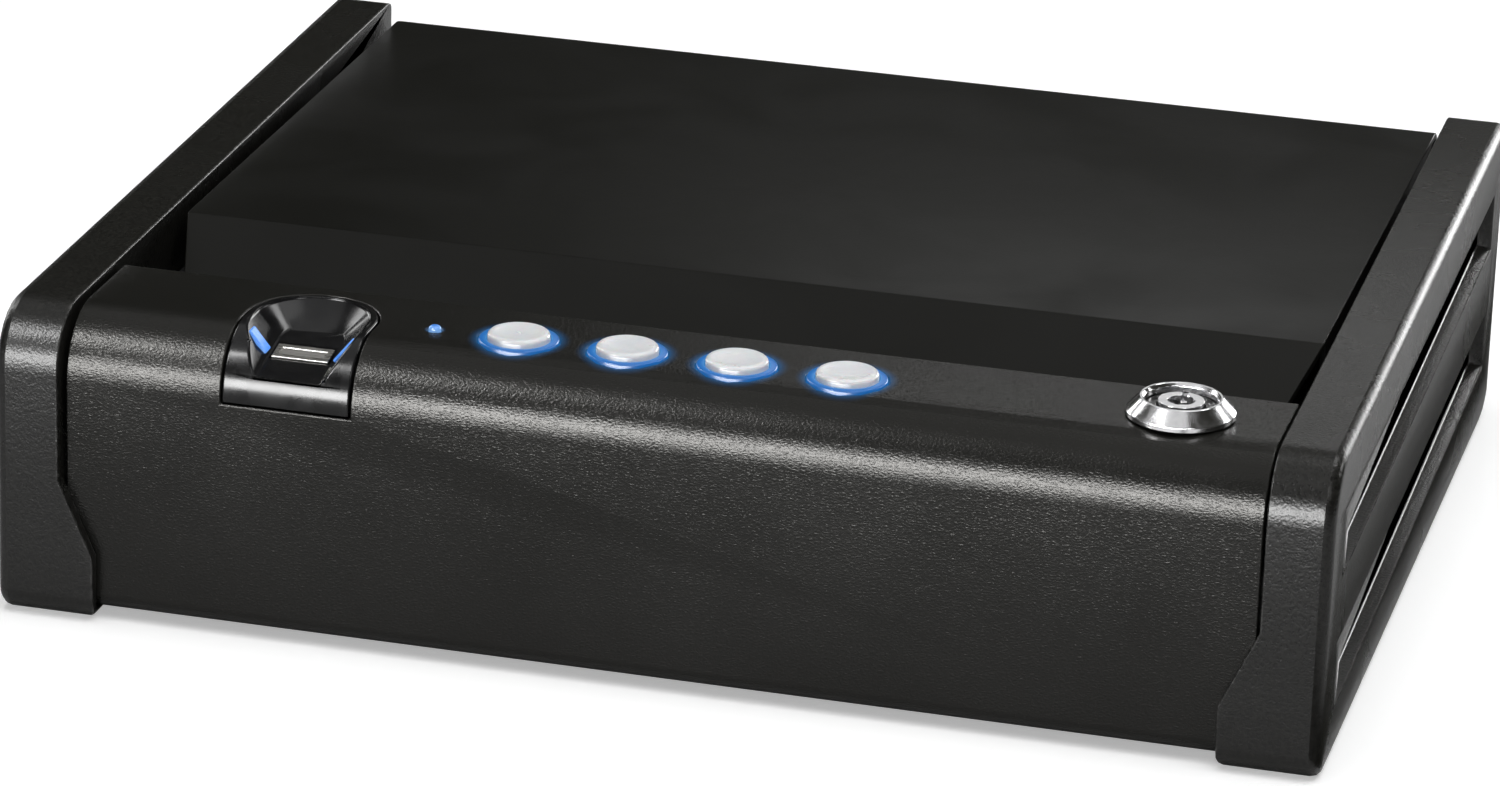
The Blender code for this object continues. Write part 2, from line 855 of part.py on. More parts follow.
console_bosses = copies("console bosses", console_boss_pattern, console_boss_spots)
console_boss_bores = holes(
    "console boss bores",
    [at(x, front + tray_start - seam, console_screw_z, (0, 1, 0)) for x in console_screw_x],
    console_screw_length - steel,
    screw_hole_radius,
)
join(console, board_bosses, console_bosses)
cut(console, reader_opening, key_opening, status_opening, lock_opening, console_boss_bores)

# Reader insert: a plug that continues the console's surface, scooped out for a fingertip
scoop_rim_half = 0.0123
scoop_bed_half = 0.0071
scoop_front_depth = 0.0087
scoop_rear_depth = 0.0037
scoop_bed_reach = 0.006
scoop_bed_front = console_top - scoop_front_depth
scoop_bed_rear = console_top - scoop_rear_depth
scoop_bed_back = reader_arc_y + scoop_bed_reach
reader_profile = rounded(
    [
        (console_front - reader_proud, reader_bottom, 0),
        (console_front - reader_proud, console_top + reader_proud, console_front_radius),
        (reader_arc_y + 2 * reader_half, console_top + reader_proud, 0),
        (reader_arc_y + 2 * reader_half, reader_bottom, 0),
    ],
    console_arc_steps,
)
reader = extruded(
    "reader_insert", reader_profile, reader_x - reader_half, reader_x + reader_half, "X", gloss_plastic
)
reader_shape = extruded("reader shape", reader_plan(0.0), reader_bottom - overrun, safe_height, "Z")
bed_slope = (scoop_bed_rear - scoop_bed_front) / (scoop_bed_back - console_front)
bed_angle = math.atan(bed_slope)


def bed_height(y):
    return scoop_bed_front + (y - console_front) * bed_slope


def scoop_cutter():
    """A trough with a round back end, wider at the top, whose bed falls to the front."""
    steps = 12
    bm = bmesh.new()
    levels = []
    for half, height, level in (
        (scoop_bed_half, None, 0.0),
        (scoop_rim_half, console_top, 1.0),
        (scoop_rim_half, safe_height, 1.0),
    ):
        centre_y = scoop_bed_back - scoop_bed_half
        centre_y += (reader_arc_y - centre_y) * level
        plan = [(reader_x + half, front - overrun)]
        plan += arc(reader_x, centre_y, half, 0.0, 180.0, steps)
        plan += [(reader_x - half, front - overrun)]
        levels.append([bm.verts.new((x, y, bed_height(y) if height is None else height)) for x, y in plan])
    bm.faces.new(levels[0])
    bm.faces.new(levels[-1])
    for lower, upper in zip(levels, levels[1:]):
        for index in range(len(lower)):
            following = (index + 1) % len(lower)
            bm.faces.new((lower[index], lower[following], upper[following], upper[index]))
    bmesh.ops.triangulate(bm, faces=bm.faces)
    return finish(bm, "scoop")


boolean(reader, reader_shape, "INTERSECT")
cut(reader, scoop_cutter())

# Swipe sensor: a metal bar across the scoop's bed
sensor_half = 0.0062
sensor_length = 0.0052
sensor_thickness = 0.0020
sensor_proud = 0.0004
sensor_back = 0.015
sensor_y = front + sensor_back


def across_bed(name, half, length, rise, depth, material=None):
    """A block laid on the scoop's sloping bed, centred on the sensor's place."""
    bm = bmesh.new()
    bmesh.ops.create_cube(bm, size=1.0, matrix=Matrix.Diagonal((2 * half, length, rise + depth, 1.0)))
    bmesh.ops.translate(bm, verts=bm.verts, vec=(0.0, 0.0, (rise - depth) / 2))
    place = Matrix.Translation((reader_x, sensor_y, bed_height(sensor_y)))
    bmesh.ops.transform(bm, matrix=place @ Matrix.Rotation(bed_angle, 4, "X"), verts=bm.verts)
    return finish(bm, name, material)


sensor_seat = across_bed(
    "sensor seat", sensor_half + seam, sensor_length + 2 * seam, overrun, sensor_thickness + seam
)
cut(reader, sensor_seat)
across_bed("fingerprint_sensor", sensor_half, sensor_length, sensor_proud, sensor_thickness, sensor_metal)

# Light guides: bars let into the scoop's side walls, beside the sensor
guide_width = 0.0034
guide_thickness = 0.0012
guide_sink = 0.0010
guide_y = sensor_y + guide_width / 2 - sensor_length / 2
guide_low_share = 0.06
guide_high_share = 0.78
wall_run = scoop_rim_half - scoop_bed_half
wall_rise = console_top - bed_height(guide_y)
wall_length = math.hypot(wall_run, wall_rise)
wall_angle = math.atan2(wall_rise, wall_run)


def on_wall(name, side, grow, rise, depth, material=None):
    """A bar along a side wall of the scoop, from near the sensor up to near the rim."""
    length = wall_length * (guide_high_share - guide_low_share) + 2 * grow
    share = (guide_low_share + guide_high_share) / 2
    bm = bmesh.new()
    bmesh.ops.create_cube(
        bm, size=1.0, matrix=Matrix.Diagonal((length, guide_width + 2 * grow, rise + depth, 1.0))
    )
    bmesh.ops.translate(bm, verts=bm.verts, vec=(0.0, 0.0, (rise - depth) / 2))
    centre = (
        reader_x + side * (scoop_bed_half + wall_run * share),
        guide_y,
        bed_height(guide_y) + wall_rise * share,
    )
    turn = Matrix.Rotation(-side * wall_angle, 4, "Y")
    bmesh.ops.transform(bm, matrix=Matrix.Translation(centre) @ turn, verts=bm.verts)
    return finish(bm, name, material)


for label, side in (("left", -1), ("right", 1)):
    cut(reader, on_wall("guide seat " + label, side, seam, overrun, guide_sink + seam))
    on_wall("reader_light_guide_" + label, side, 0.0, guide_thickness - guide_sink, guide_sink, ring_blue)

# Status light: a light pipe from the board to a domed lens that stands out of the console's surface
status_proud = 0.0011
status_shoulder = 0.0002
status_sides = 16
status_dome_steps = 4
status_dome = []
for point in arc(0.0, 0.0, 1.0, 90, 0, status_dome_steps)[1:]:
    rise = status_shoulder + (status_proud - status_shoulder) * point.y
    status_dome.append((status_radius * point.x, console_top + rise))
turned(
    "status_lens",
    (status_x, controls_y, 0.0),
    [
        (0.0, console_top + status_proud),
        *status_dome,
        (status_radius, board_top + 2 * seam),
        (0.0, board_top + 2 * seam),
    ],
    status_sides,
    ring_blue,
)

# Light rings, one for each key
ring_pattern = turned(
    "ring pattern",
    middle,
    [
        (ring_radius - ring_proud, ring_proud),
        (ring_radius, 0.0),
        (ring_radius, -ring_drop),
        (ring_bore, -ring_drop),
        (ring_bore, ring_proud),
    ],
    round_sides,
    ring=True,
)
ring_spots = [at(x, y, console_top) for x, y in key_places]
repeated(numbered("key_light_ring", len(key_places)), ring_pattern, ring_spots, ring_blue)

# Keys: each slides in its ring, and its stem presses a switch on the board
key_profile = [
    (0.0, key_height - key_dish),
    (key_dish_radius, key_height - key_dish),
    (key_dish_radius + key_dish, key_height),
    (key_radius - key_edge / 2, key_height - key_edge / 4),
    (key_radius, key_height - key_edge),
    (key_radius, -key_skirt),
    (key_stem_radius, -key_skirt),
    (key_stem_radius, -key_stem),
    (0.0, -key_stem),
]
for index, (x, y) in enumerate(key_places):
    name = "button_" + str(index + 1)
    button = turned(name, (x, y, console_top), key_profile, round_sides, button_white)
    if index == 0:
        dot = rod(
            "key dot",
            (x, y, console_top),
            (x, y, console_top + key_height),
            key_dot_radius,
            8,
        )
        join(button, dot)

# Circuit board with its soldered switches and parts. Pins on the console's bosses pass through its holes
switch_half = 0.0030
switch_height = 0.0030
switch_plunger_radius = 0.0017
switch_plunger = console_top - key_stem - key_travel - seam / 2 - board_top
board = box(
    "circuit_board",
    (board_left, board_front, board_top - board_thickness),
    (board_right, board_rear, board_top),
    board_green,
)
switch_pattern = box(
    "switch pattern",
    (-switch_half, -switch_half, -board_thickness / 2),
    (switch_half, switch_half, switch_height),
)
switch_spots = [at(x, y, board_top) for x, y in key_places]
plunger_pattern = rod(
    "switch plunger pattern",
    middle,
    (0.0, 0.0, switch_plunger),
    switch_plunger_radius,
    fastener_sides,
)

# Parts under the board: their centres, widths and depths as shares of the board's length and width
chip_height = 0.0014
relay_height = 0.003
socket_height = 0.005
socket_along_share = 0.629
socket_across_share = 0.24
chip_shares = (
    ("controller", chip_height, 0.258, 0.50, 0.097, 0.48),
    ("memory", chip_height, 0.452, 0.50, 0.073, 0.28),
    ("lead socket", socket_height, socket_along_share, socket_across_share, 0.097, 0.20),
    ("relay", relay_height, 0.790, 0.50, 0.065, 0.48),
)
board_length = board_right - board_left
board_width = board_rear - board_front
for label, tall, along_share, across_share, length_share, width_share in chip_shares:
    x = board_left + along_share * board_length
    y = board_front + across_share * board_width
    half_x = length_share * board_length / 2
    half_y = width_share * board_width / 2
    chip = box(
        label,
        (x - half_x, y - half_y, board_top - board_thickness - tall),
        (x + half_x, y + half_y, board_top - board_thickness / 2),
    )
    join(board, chip)
join(
    board,
    copies("switch bodies", switch_pattern, switch_spots),
    copies("switch plungers", plunger_pattern, switch_spots),
)
cut(board, holes("board pin holes", board_spots, board_thickness + 2 * overrun, board_pin_radius + seam))

# Key lock: bezel and barrel stay put, the plug turns in the barrel and carries the cam
plug_radius = 0.00485
plug_core_radius = 0.0028
plug_height = 0.0031
plug_core_height = 0.0005
barrel_face = 0.0020
barrel_head_radius = bezel_bore - seam
barrel_bore = plug_radius + seam
nut_flats = 0.0200
nut_height = 0.0030
lock_centre = (lock_x, lock_y, lock_base)
turned(
    "lock_bezel",
    lock_centre,
    [
        (bezel_rim_radius, bezel_height),
        (bezel_radius, bezel_band),
        (bezel_radius, 0.0),
        (bezel_bore, 0.0),
        (bezel_bore, bezel_height - bezel_band / 2),
        (bezel_mouth_radius, bezel_height),
    ],
    round_sides,
    chrome,
    ring=True,
)
turned(
    "lock_barrel",
    lock_centre,
    [
        (barrel_head_radius, barrel_face),
        (barrel_head_radius, -seam),
        (barrel_radius, -seam),
        (barrel_radius, -barrel_length),
        (barrel_bore, -barrel_length),
        (barrel_bore, barrel_face),
    ],
    round_sides,
    lock_black,
    ring=True,
)
plug_bottom = barrel_length + seam
plug = turned(
    "key_plug",
    lock_centre,
    [
        (0.0, plug_core_height),
        (plug_core_radius, plug_core_height),
        (plug_core_radius, plug_height),
        (plug_radius, plug_height),
        (plug_radius, -plug_bottom),
        (0.0, -plug_bottom),
    ],
    24,
    chrome,
)
notch_half = 0.0006
notch_depth = 0.0016
plug_notch = box(
    "plug notch",
    (lock_x - notch_half, lock_y + plug_core_radius - notch_half, lock_base + plug_height - notch_depth),
    (lock_x + notch_half, lock_y + plug_radius + notch_half, lock_base + plug_height + overrun),
)
cut(plug, plug_notch)
nut_corner = nut_flats / 2 / math.cos(math.pi / 6)
nut_top = console_under - 2 * seam
nut_points = arc(lock_x, lock_y, nut_corner, 0.0, 300.0, 5)
nut = extruded("lock_nut", nut_points, nut_top - nut_height, nut_top, "Z", plain_steel)
nut_bore = rod(
    "nut bore",
    (lock_x, lock_y, nut_top - nut_height - overrun),
    (lock_x, lock_y, nut_top + overrun),
    barrel_radius + seam,
    round_sides,
)
cut(nut, nut_bore)

# Cam: a disc under the plug, whose pin slides the latch bar as the plug turns a quarter turn
latch_travel = 0.0060
cam_pin_reach = latch_travel / math.sqrt(2)
cam_radius = 0.0070
cam_thickness = 0.0020
cam_pin_radius = 0.0015
cam_top = lock_base - plug_bottom - seam
cam_pin_length = 0.0040
cam_pin_x = lock_x - latch_travel / 2
cam_pin_y = lock_y + latch_travel / 2
cam = rod(
    "lock_cam",
    (lock_x, lock_y, cam_top - cam_thickness),
    (lock_x, lock_y, cam_top),
    cam_radius,
    20,
    plain_steel,
    pivot=(lock_x, lock_y, cam_top),
)
cam_pin = rod(
    "cam pin",
    (cam_pin_x, cam_pin_y, cam_top - cam_thickness - cam_pin_length),
    (cam_pin_x, cam_pin_y, cam_top - cam_thickness / 2),
    cam_pin_radius,
    fastener_sides,
)
join(cam, cam_pin)

# Lock bulkhead: gutter floor, riser, shelf and rear wall, bent from one sheet
bulkhead_path = [
    (front + gutter_front, gutter_top),
    (front + riser_back, gutter_top),
    (front + riser_back, shelf_top),
    (bulkhead_rear, shelf_top),
    (bulkhead_rear, bulkhead_foot_top),
    (bulkhead_rear + bulkhead_flange, bulkhead_foot_top),
]
bulkhead = folded_sheet("lock_bulkhead", bulkhead_path, bulkhead_half, steel, tray_paint)

# Strikers on the lid and the latch bar that catches them
striker_place_share = 0.6682
striker_x = striker_place_share * lid_half
striker_half = 0.00125
striker_width = 0.008
striker_setback = 0.0066
striker_front = front + riser_back + striker_setback
latch_bar_setback = 0.0032
latch_bar_front = front + riser_back + latch_bar_setback
latch_bar_thickness = 0.0020
latch_bar_drop = 0.0015
latch_bar_height = 0.0060
latch_bar_high = shelf_under - latch_bar_drop
latch_bar_low = latch_bar_high - latch_bar_height
striker_bottom = latch_bar_low - seam
latch_height = (latch_bar_low + latch_bar_high) / 2
latch_pin_radius = 0.0018
latch_hole_radius = 0.0024
latch_pin_gap = 0.0010
latch_pin_length = 0.0055
latch_tab = 0.0030
striker_slot_gap = 0.0012
latch_bar_rear = latch_bar_front + latch_bar_thickness
latch_pin_y = striker_front + striker_width / 2

slot_pattern = box(
    "slot pattern",
    (-striker_half - striker_slot_gap, striker_front - striker_slot_gap, shelf_under - overrun),
    (striker_half + striker_slot_gap, striker_front + striker_width + striker_slot_gap, shelf_top + overrun),
)
striker_slots = copies("striker slots", slot_pattern, [at(side * striker_x, 0.0, 0.0) for side in (-1, 1)])

# Battery bay: holder, four cells in two rows, contacts, and a door in the bulkhead's rear wall
cell_radius = 0.0071
cell_length = 0.0495
cell_nub_radius = 0.00275
cell_nub = 0.0010
contact_room = 0.0030
contact_half = 0.0018
holder_wall = 0.0016
holder_floor = 0.0020
row_pitch = 0.0156
holder_left = -0.0750
cell_clearance = 0.0004
trough_radius = cell_radius + cell_clearance
row_length = 2 * (cell_length + cell_nub + seam) + 2 * contact_room
holder_right = holder_left + row_length + 2 * holder_wall
holder_rear = bulkhead_rear_inner - seam
holder_bottom = floor_top + seam
cell_y = holder_rear - trough_radius - 2 * cell_clearance
row_low = holder_bottom + holder_floor + trough_radius
most_rows = 2
row_room = latch_bar_low - seam - holder_wall - trough_radius - row_low
row_count = min(most_rows, 1 + int(row_room / row_pitch))
row_heights = [row_low + index * row_pitch for index in range(row_count)]
holder_top = row_heights[-1] + trough_radius + holder_wall
holder_front = cell_y - trough_radius - holder_wall

holder = box(
    "battery_holder",
    (holder_left, holder_front, holder_bottom),
    (holder_right, holder_rear, holder_top),
    chip_black,
)
for index, height in enumerate(row_heights):
    trough = extruded(
        "trough " + str(index),
        [
            *arc(cell_y, height, trough_radius, 90.0, 270.0, 10),
            (holder_rear + overrun, height - trough_radius),
            (holder_rear + overrun, height + trough_radius),
        ],
        holder_left + holder_wall,
        holder_right - holder_wall,
        "X",
    )
    cut(holder, trough)

cell_pattern = turned(
    "cell pattern",
    middle,
    [
        (0.0, cell_length + cell_nub),
        (cell_nub_radius, cell_length + cell_nub),
        (cell_nub_radius, cell_length),
        (cell_radius - cell_clearance, cell_length),
        (cell_radius, cell_length - cell_clearance),
        (cell_radius, 0.0),
        (0.0, 0.0),
    ],
    18,
)
cell_start = holder_left + holder_wall + contact_room
cell_step = cell_length + cell_nub + seam
cell_end = cell_start + 2 * cell_step - seam
cell_spots = []
for index, height in enumerate(row_heights):
    for step in range(2):
        if index % 2 == 0:
            cell_spots.append(at(cell_start + step * cell_step, cell_y, height, (1, 0, 0)))
        else:
            cell_spots.append(at(cell_end - step * cell_step, cell_y, height, (-1, 0, 0)))
repeated(numbered("battery", len(cell_spots)), cell_pattern, cell_spots, cell_wrap)

# Contacts stand on the holder's end walls
for index, height in enumerate(row_heights):
    for label, start, end in (
        ("left", holder_left + holder_wall / 2, cell_start - seam),
        ("right", cell_end + seam, holder_right - holder_wall / 2),
    ):
        contact = box(
            "contact " + label + " " + str(index),
            (start, cell_y - contact_half, height - contact_half),
            (end, cell_y + contact_half, height + contact_half),
        )
        join(holder, contact)

door_hinge_height = 0.0074
door_hinge_radius = 0.0017
door_pin_radius = 0.0008
door_gap = 0.0004
door_drop = 0.0010
door_hinge_y = bulkhead_rear + door_hinge_radius - seam
door_left = holder_left + holder_wall
door_right = holder_right - holder_wall
door_low = door_hinge_height - door_drop
door_high = row_heights[-1] + cell_radius + 2 * door_gap
door_knuckle = 0.008
door_axis = (0.0, door_hinge_y, door_hinge_height)
door_window = box(
    "battery window",
    (door_left - door_gap, bulkhead_rear_inner - overrun, door_low - door_gap),
    (door_right + door_gap, bulkhead_rear + overrun, door_high + door_gap),
)
fixed_knuckles = [
    rod(
        "fixed knuckle " + str(index),
        (start, door_hinge_y, door_hinge_height),
        (start + door_knuckle, door_hinge_y, door_hinge_height),
        door_hinge_radius,
        fastener_sides,
    )
    for index, start in enumerate((door_left - door_gap - door_knuckle, door_right + door_gap))
]
door_pin_bore = rod(
    "door pin bore",
    (door_left - 2 * door_knuckle, door_hinge_y, door_hinge_height),
    (door_right + 2 * door_knuckle, door_hinge_y, door_hinge_height),
    door_pin_radius + seam,
    fastener_sides,
)
join(bulkhead, *fixed_knuckles)
bulkhead_foot_holes = holes(
    "bulkhead foot holes", bulkhead_screw_spots, steel + 2 * overrun, screw_hole_radius
)
cut(bulkhead, striker_slots, door_window, door_pin_bore, bulkhead_foot_holes)

door = box(
    "battery_door",
    (door_left, bulkhead_rear_inner, door_low),
    (door_right, bulkhead_rear, door_high),
    console_plastic,
    pivot=door_axis,
)
door_knuckles = [
    rod(
        "door knuckle " + str(index),
        (start, door_hinge_y, door_hinge_height),
        (start + door_knuckle, door_hinge_y, door_hinge_height),
        door_hinge_radius,
        fastener_sides,
    )
    for index, start in enumerate((door_left, door_right - door_knuckle))
]
pull_half = 0.010
pull_height = 0.003
pull_reach = 0.002
door_pull = box(
    "door pull",
    (
        (door_left + door_right) / 2 - pull_half,
        bulkhead_rear - steel / 2,
        door_high - pull_height - door_gap,
    ),
    (
        (door_left + door_right) / 2 + pull_half,
        bulkhead_rear + pull_reach,
        door_high - door_gap,
    ),
)
join(door, *door_knuckles, door_pull)
cut(door, door_pin_bore)
rod(
    "battery_door_pin",
    (door_left - door_knuckle, door_hinge_y, door_hinge_height),
    (door_right + door_knuckle, door_hinge_y, door_hinge_height),
    door_pin_radius,
    8,
    plain_steel,
)

# Battery lead from the holder, under the gutter floor and up to the socket on the board
lead_radius = 0.0009
lead_height = row_heights[-1] + cell_radius / 2
lead_run = 0.008
lead_x = board_left + socket_along_share * board_length
lead_end_y = board_front + socket_across_share * board_width
lead_end_height = board_top - board_thickness - socket_height - seam
lead_route = (
    (holder_front - seam, lead_height),
    (holder_front - lead_run, lead_height),
    (lead_end_y + lead_run, lead_height + lead_run / 2),
    (lead_end_y, lead_end_height - lead_run),
    (lead_end_y, lead_end_height),
)


def lead_points(steps):
    """A smooth curve through the route's points, from holder to board."""
    ends = (lead_route[0], *lead_route, lead_route[-1])
    points = []
    for index in range(len(lead_route) - 1):
        before, start, end, after = (Vector(point) for point in ends[index : index + 4])
        for step in range(steps):
            t = step / steps
            points.append(
                (
                    2 * start
                    + (end - before) * t
                    + (2 * before - 5 * start + 4 * end - after) * t * t
                    + (3 * start - before - 3 * end + after) * t * t * t
                )
                / 2
            )
    return [*points, Vector(lead_route[-1])]


lead_curve = bpy.data.curves.new("battery_lead", "CURVE")
lead_curve.dimensions = "3D"
lead_curve.bevel_depth = lead_radius
lead_curve.bevel_resolution = 1
lead_curve.use_fill_caps = True
strand = lead_curve.splines.new("POLY")
route = lead_points(4)
strand.points.add(len(route) - 1)
for point, (y, z) in zip(strand.points, route):
    point.co = (lead_x, y, z, 1.0)
lead = bpy.data.objects.new("battery_lead", lead_curve)
lead.data.materials.append(lead_red)
parts.objects.link(lead)

# Latch bar: slides along X, with a pin for each striker, a fork for the cam and a tab for the plunger
fork_half = 0.0048
fork_slot_half = cam_pin_radius + seam
fork_top = cam_top - cam_thickness - cam_pin_length / 2 + seam
fork_thickness = 0.0018
fork_front = lock_y + cam_pin_radius - overrun / 2
plunger_x = -0.010
plunger_tab = 0.0020
latch_left = -striker_x - striker_half - latch_pin_gap - latch_pin_length - latch_tab
latch_right = cam_pin_x + fork_half
latch_bar = box(
    "latch_bar",
    (latch_left, latch_bar_front, latch_bar_low),
    (latch_right, latch_bar_rear, latch_bar_high),
    plain_steel,
)
for label, side in (("left", -1), ("right", 1)):
    pin_end = side * striker_x - striker_half - latch_pin_gap
    pin_start = pin_end - latch_pin_length
    tab = box(
        "latch tab " + label,
        (pin_start - latch_tab, latch_bar_rear - overrun / 2, latch_bar_low + seam),
        (pin_start, latch_pin_y + latch_pin_radius, latch_bar_high - seam),
    )
    pin = rod(
        "latch pin " + label,
        (pin_start - latch_tab / 2, latch_pin_y, latch_height),
        (pin_end, latch_pin_y, latch_height),
        latch_pin_radius,
        fastener_sides,
    )
    join(latch_bar, tab, pin)
fork_leg = box(
    "fork leg",
    (cam_pin_x - fork_half, latch_bar_front, fork_top - fork_thickness),
    (latch_right, latch_bar_rear, latch_bar_high - seam),
)
fork = box(
    "fork",
    (cam_pin_x - fork_half, fork_front, fork_top - fork_thickness),
    (latch_right, latch_bar_rear - seam, fork_top),
)
fork_slot = box(
    "fork slot",
    (cam_pin_x - fork_slot_half, fork_front - overrun, fork_top - fork_thickness - overrun),
    (cam_pin_x + fork_slot_half, lock_y + cam_pin_reach + cam_pin_radius + seam, fork_top + overrun),
)
plunger_seat = box(
    "plunger tab",
    (plunger_x + seam, latch_bar_rear - overrun / 2, latch_bar_low + seam),
    (plunger_x + seam + plunger_tab, latch_pin_y + latch_pin_radius, latch_bar_high - seam),
)
join(latch_bar, fork_leg, fork, plunger_seat)
cut(latch_bar, fork_slot)

# Latch guides: two blocks under the shelf that the bar runs through
guide_block_x = (-0.060, 0.030)
guide_block_half = 0.004
guide_block_wall = 0.0011
guide_slack = 0.0003
guide_block_rear = latch_bar_rear + guide_slack + guide_block_wall
guide_pattern = box(
    "guide pattern",
    (-guide_block_half, riser_inner + seam, latch_bar_low - guide_slack - guide_block_wall),
    (guide_block_half, guide_block_rear, shelf_under - seam),
)
guide_slot = box(
    "guide slot",
    (-2 * guide_block_half, latch_bar_front - guide_slack, latch_bar_low - guide_slack),
    (2 * guide_block_half, latch_bar_rear + guide_slack, latch_bar_high + guide_slack),
)
cut(guide_pattern, guide_slot)
guide_block_spots = [at(x, 0.0, 0.0) for x in guide_block_x]
repeated(("latch_guide_left", "latch_guide_right"), guide_pattern, guide_block_spots, gloss_plastic)
bpy.data.objects.remove(guide_slot, do_unlink=True)

# Solenoid under the shelf: frame, coil and the plunger that moves with the latch bar
solenoid_length = 0.0220
solenoid_wall = 0.0012
solenoid_half = 0.0042
solenoid_right = plunger_x - 0.0085
solenoid_left = solenoid_right - solenoid_length
solenoid_top = shelf_under - seam
solenoid_bottom = 2 * latch_height - solenoid_top
coil_radius = 0.0030
plunger_radius = 0.0015
plunger_sink = 0.0140
frame_box = box(
    "solenoid_frame",
    (solenoid_left, latch_pin_y - solenoid_half, solenoid_bottom),
    (solenoid_right, latch_pin_y + solenoid_half, solenoid_top),
    plain_steel,
)
frame_window = box(
    "solenoid window",
    (solenoid_left + solenoid_wall, latch_pin_y - 2 * solenoid_half, solenoid_bottom + solenoid_wall),
    (solenoid_right - solenoid_wall, latch_pin_y + 2 * solenoid_half, solenoid_top - solenoid_wall),
)
plunger_bore = rod(
    "plunger bore",
    (solenoid_left + 2 * solenoid_wall, latch_pin_y, latch_height),
    (solenoid_right + overrun, latch_pin_y, latch_height),
    plunger_radius + seam,
    fastener_sides,
)
cut(frame_box, frame_window, plunger_bore)
coil = rod(
    "solenoid_coil",
    (solenoid_left + solenoid_wall + seam, latch_pin_y, latch_height),
    (solenoid_right - solenoid_wall - seam, latch_pin_y, latch_height),
    coil_radius,
    16,
    copper,
)
cut(coil, plunger_bore)
rod(
    "solenoid_plunger",
    (solenoid_right - plunger_sink, latch_pin_y, latch_height),
    (plunger_x, latch_pin_y, latch_height),
    plunger_radius,
    fastener_sides,
    chrome,
)

# Lid: one folded sheet with a ramp at the front and a flange at the back, and two side skirts
flange_bottom = hinge_height + hinge_margin
lid_path = rounded(
    [
        (front + lid_tip, lid_tip_height, 0),
        (front + lid_crease, lid_top, lid_crease_radius),
        (wall_back, lid_top, lid_back_radius),
        (wall_back, flange_bottom, 0),
    ],
    4,
)
lid = folded_sheet("lid_panel", lid_path, lid_half, steel, lid_paint, pivot=hinge_axis)
for label, side in (("left", -1), ("right", 1)):
    outer = side * lid_half
    inner = side * (lid_half - steel)
    low, high = sorted((outer, inner))
    skirt = box(
        "skirt " + label,
        (low, front + lid_skirt_start, lid_under - lid_skirt_height),
        (high, front + lid_skirt_end, lid_under + steel / 2),
    )
    join(lid, skirt)
    taper = extruded(
        "taper " + label,
        [
            (side * (lid_half - lid_taper), front + lid_tip - overrun),
            (side * lid_half, front + lid_crease),
            (side * (lid_half + overrun), front + lid_crease),
            (side * (lid_half + overrun), front + lid_tip - overrun),
        ],
        0.0,
        safe_height,
        "Z",
    )
    cut(lid, taper)

lid_rivet_spots = [at(x, wall_back + seam, hinge_height + rivet_drop, (0, 1, 0)) for x in rivet_x]
cut(lid, holes("lid rivet holes", lid_rivet_spots, through_wall, screw_hole_radius))

# Hinge leaves: each is a strip with half of the knuckles, and one pin runs through both
knuckle_span = (2 * leaf_half - (knuckle_count - 1) * knuckle_gap) / knuckle_count


def leaf_outline(up):
    """The strip and its knuckle from the end, going up or down from the hinge axis."""
    outer = hinge_y - knuckle_radius
    inner = outer + leaf_thickness
    meet = math.degrees(math.acos((inner - hinge_y) / knuckle_radius))
    curl = arc(0.0, 0.0, knuckle_radius, 180.0, 360.0 + meet, 14)
    points = [(hinge_y + u, hinge_height + up * v) for u, v in curl]
    return [*points, (inner, hinge_height + up * leaf_height), (outer, hinge_height + up * leaf_height)]


rivet_head_radius = 0.0028
rivet_head_height = 0.0010
rivet_profile = [
    (0.0, rivet_head_height),
    (rivet_head_radius * head_round_share, rivet_head_height * head_round_share),
    (rivet_head_radius, 0.0),
    (screw_radius, 0.0),
    (screw_radius, -steel - 2 * seam - leaf_thickness / 2),
    (0.0, -steel - 2 * seam - leaf_thickness / 2),
]


def hinge_leaf(name, up, kept, material, pivot, rivet_spots):
    """One leaf with the knuckles that it keeps and the rivets that are closed in it."""
    leaf = extruded(name, leaf_outline(up), -leaf_half, leaf_half, "X", material, pivot)
    gaps = []
    for index in range(knuckle_count):
        if index % 2 == kept:
            continue
        start = -leaf_half + index * (knuckle_span + knuckle_gap)
        reach = sorted((hinge_height - up * 2 * knuckle_radius, hinge_height + up * hinge_margin))
        gaps.append(
            box(
                name + " gap " + str(index),
                (start - knuckle_gap / 2, hinge_y - 2 * knuckle_radius, reach[0]),
                (start + knuckle_span + knuckle_gap / 2, hinge_y + 2 * knuckle_radius, reach[1]),
            )
        )
    bore = rod(
        name + " bore",
        (-leaf_half - overrun, hinge_y, hinge_height),
        (leaf_half + overrun, hinge_y, hinge_height),
        hinge_pin_radius + seam,
        fastener_sides,
    )
    cut(leaf, *gaps, bore)
    rivet_pattern = turned(name + " rivet pattern", middle, rivet_profile, fastener_sides)
    join(leaf, copies(name + " rivets", rivet_pattern, rivet_spots))


hinge_leaf("hinge_base_leaf", -1, 0, plain_steel, middle, base_rivet_spots)
hinge_leaf("hinge_lid_leaf", 1, 1, plain_steel, hinge_axis, lid_rivet_spots)
rod(
    "hinge_pin",
    (-leaf_half, hinge_y, hinge_height),
    (leaf_half, hinge_y, hinge_height),
    hinge_pin_radius,
    10,
    plain_steel,
)
# Strikers: a plate under the ramp with a foot that lies along it, and a hole for the latch pin
ramp_slope = math.tan(lid_ramp_angle)
ramp_drop = (steel + seam) / math.cos(lid_ramp_angle)
striker_foot_half = 0.007
striker_foot_run = 0.0015
striker_foot_drop = steel / math.cos(lid_ramp_angle)


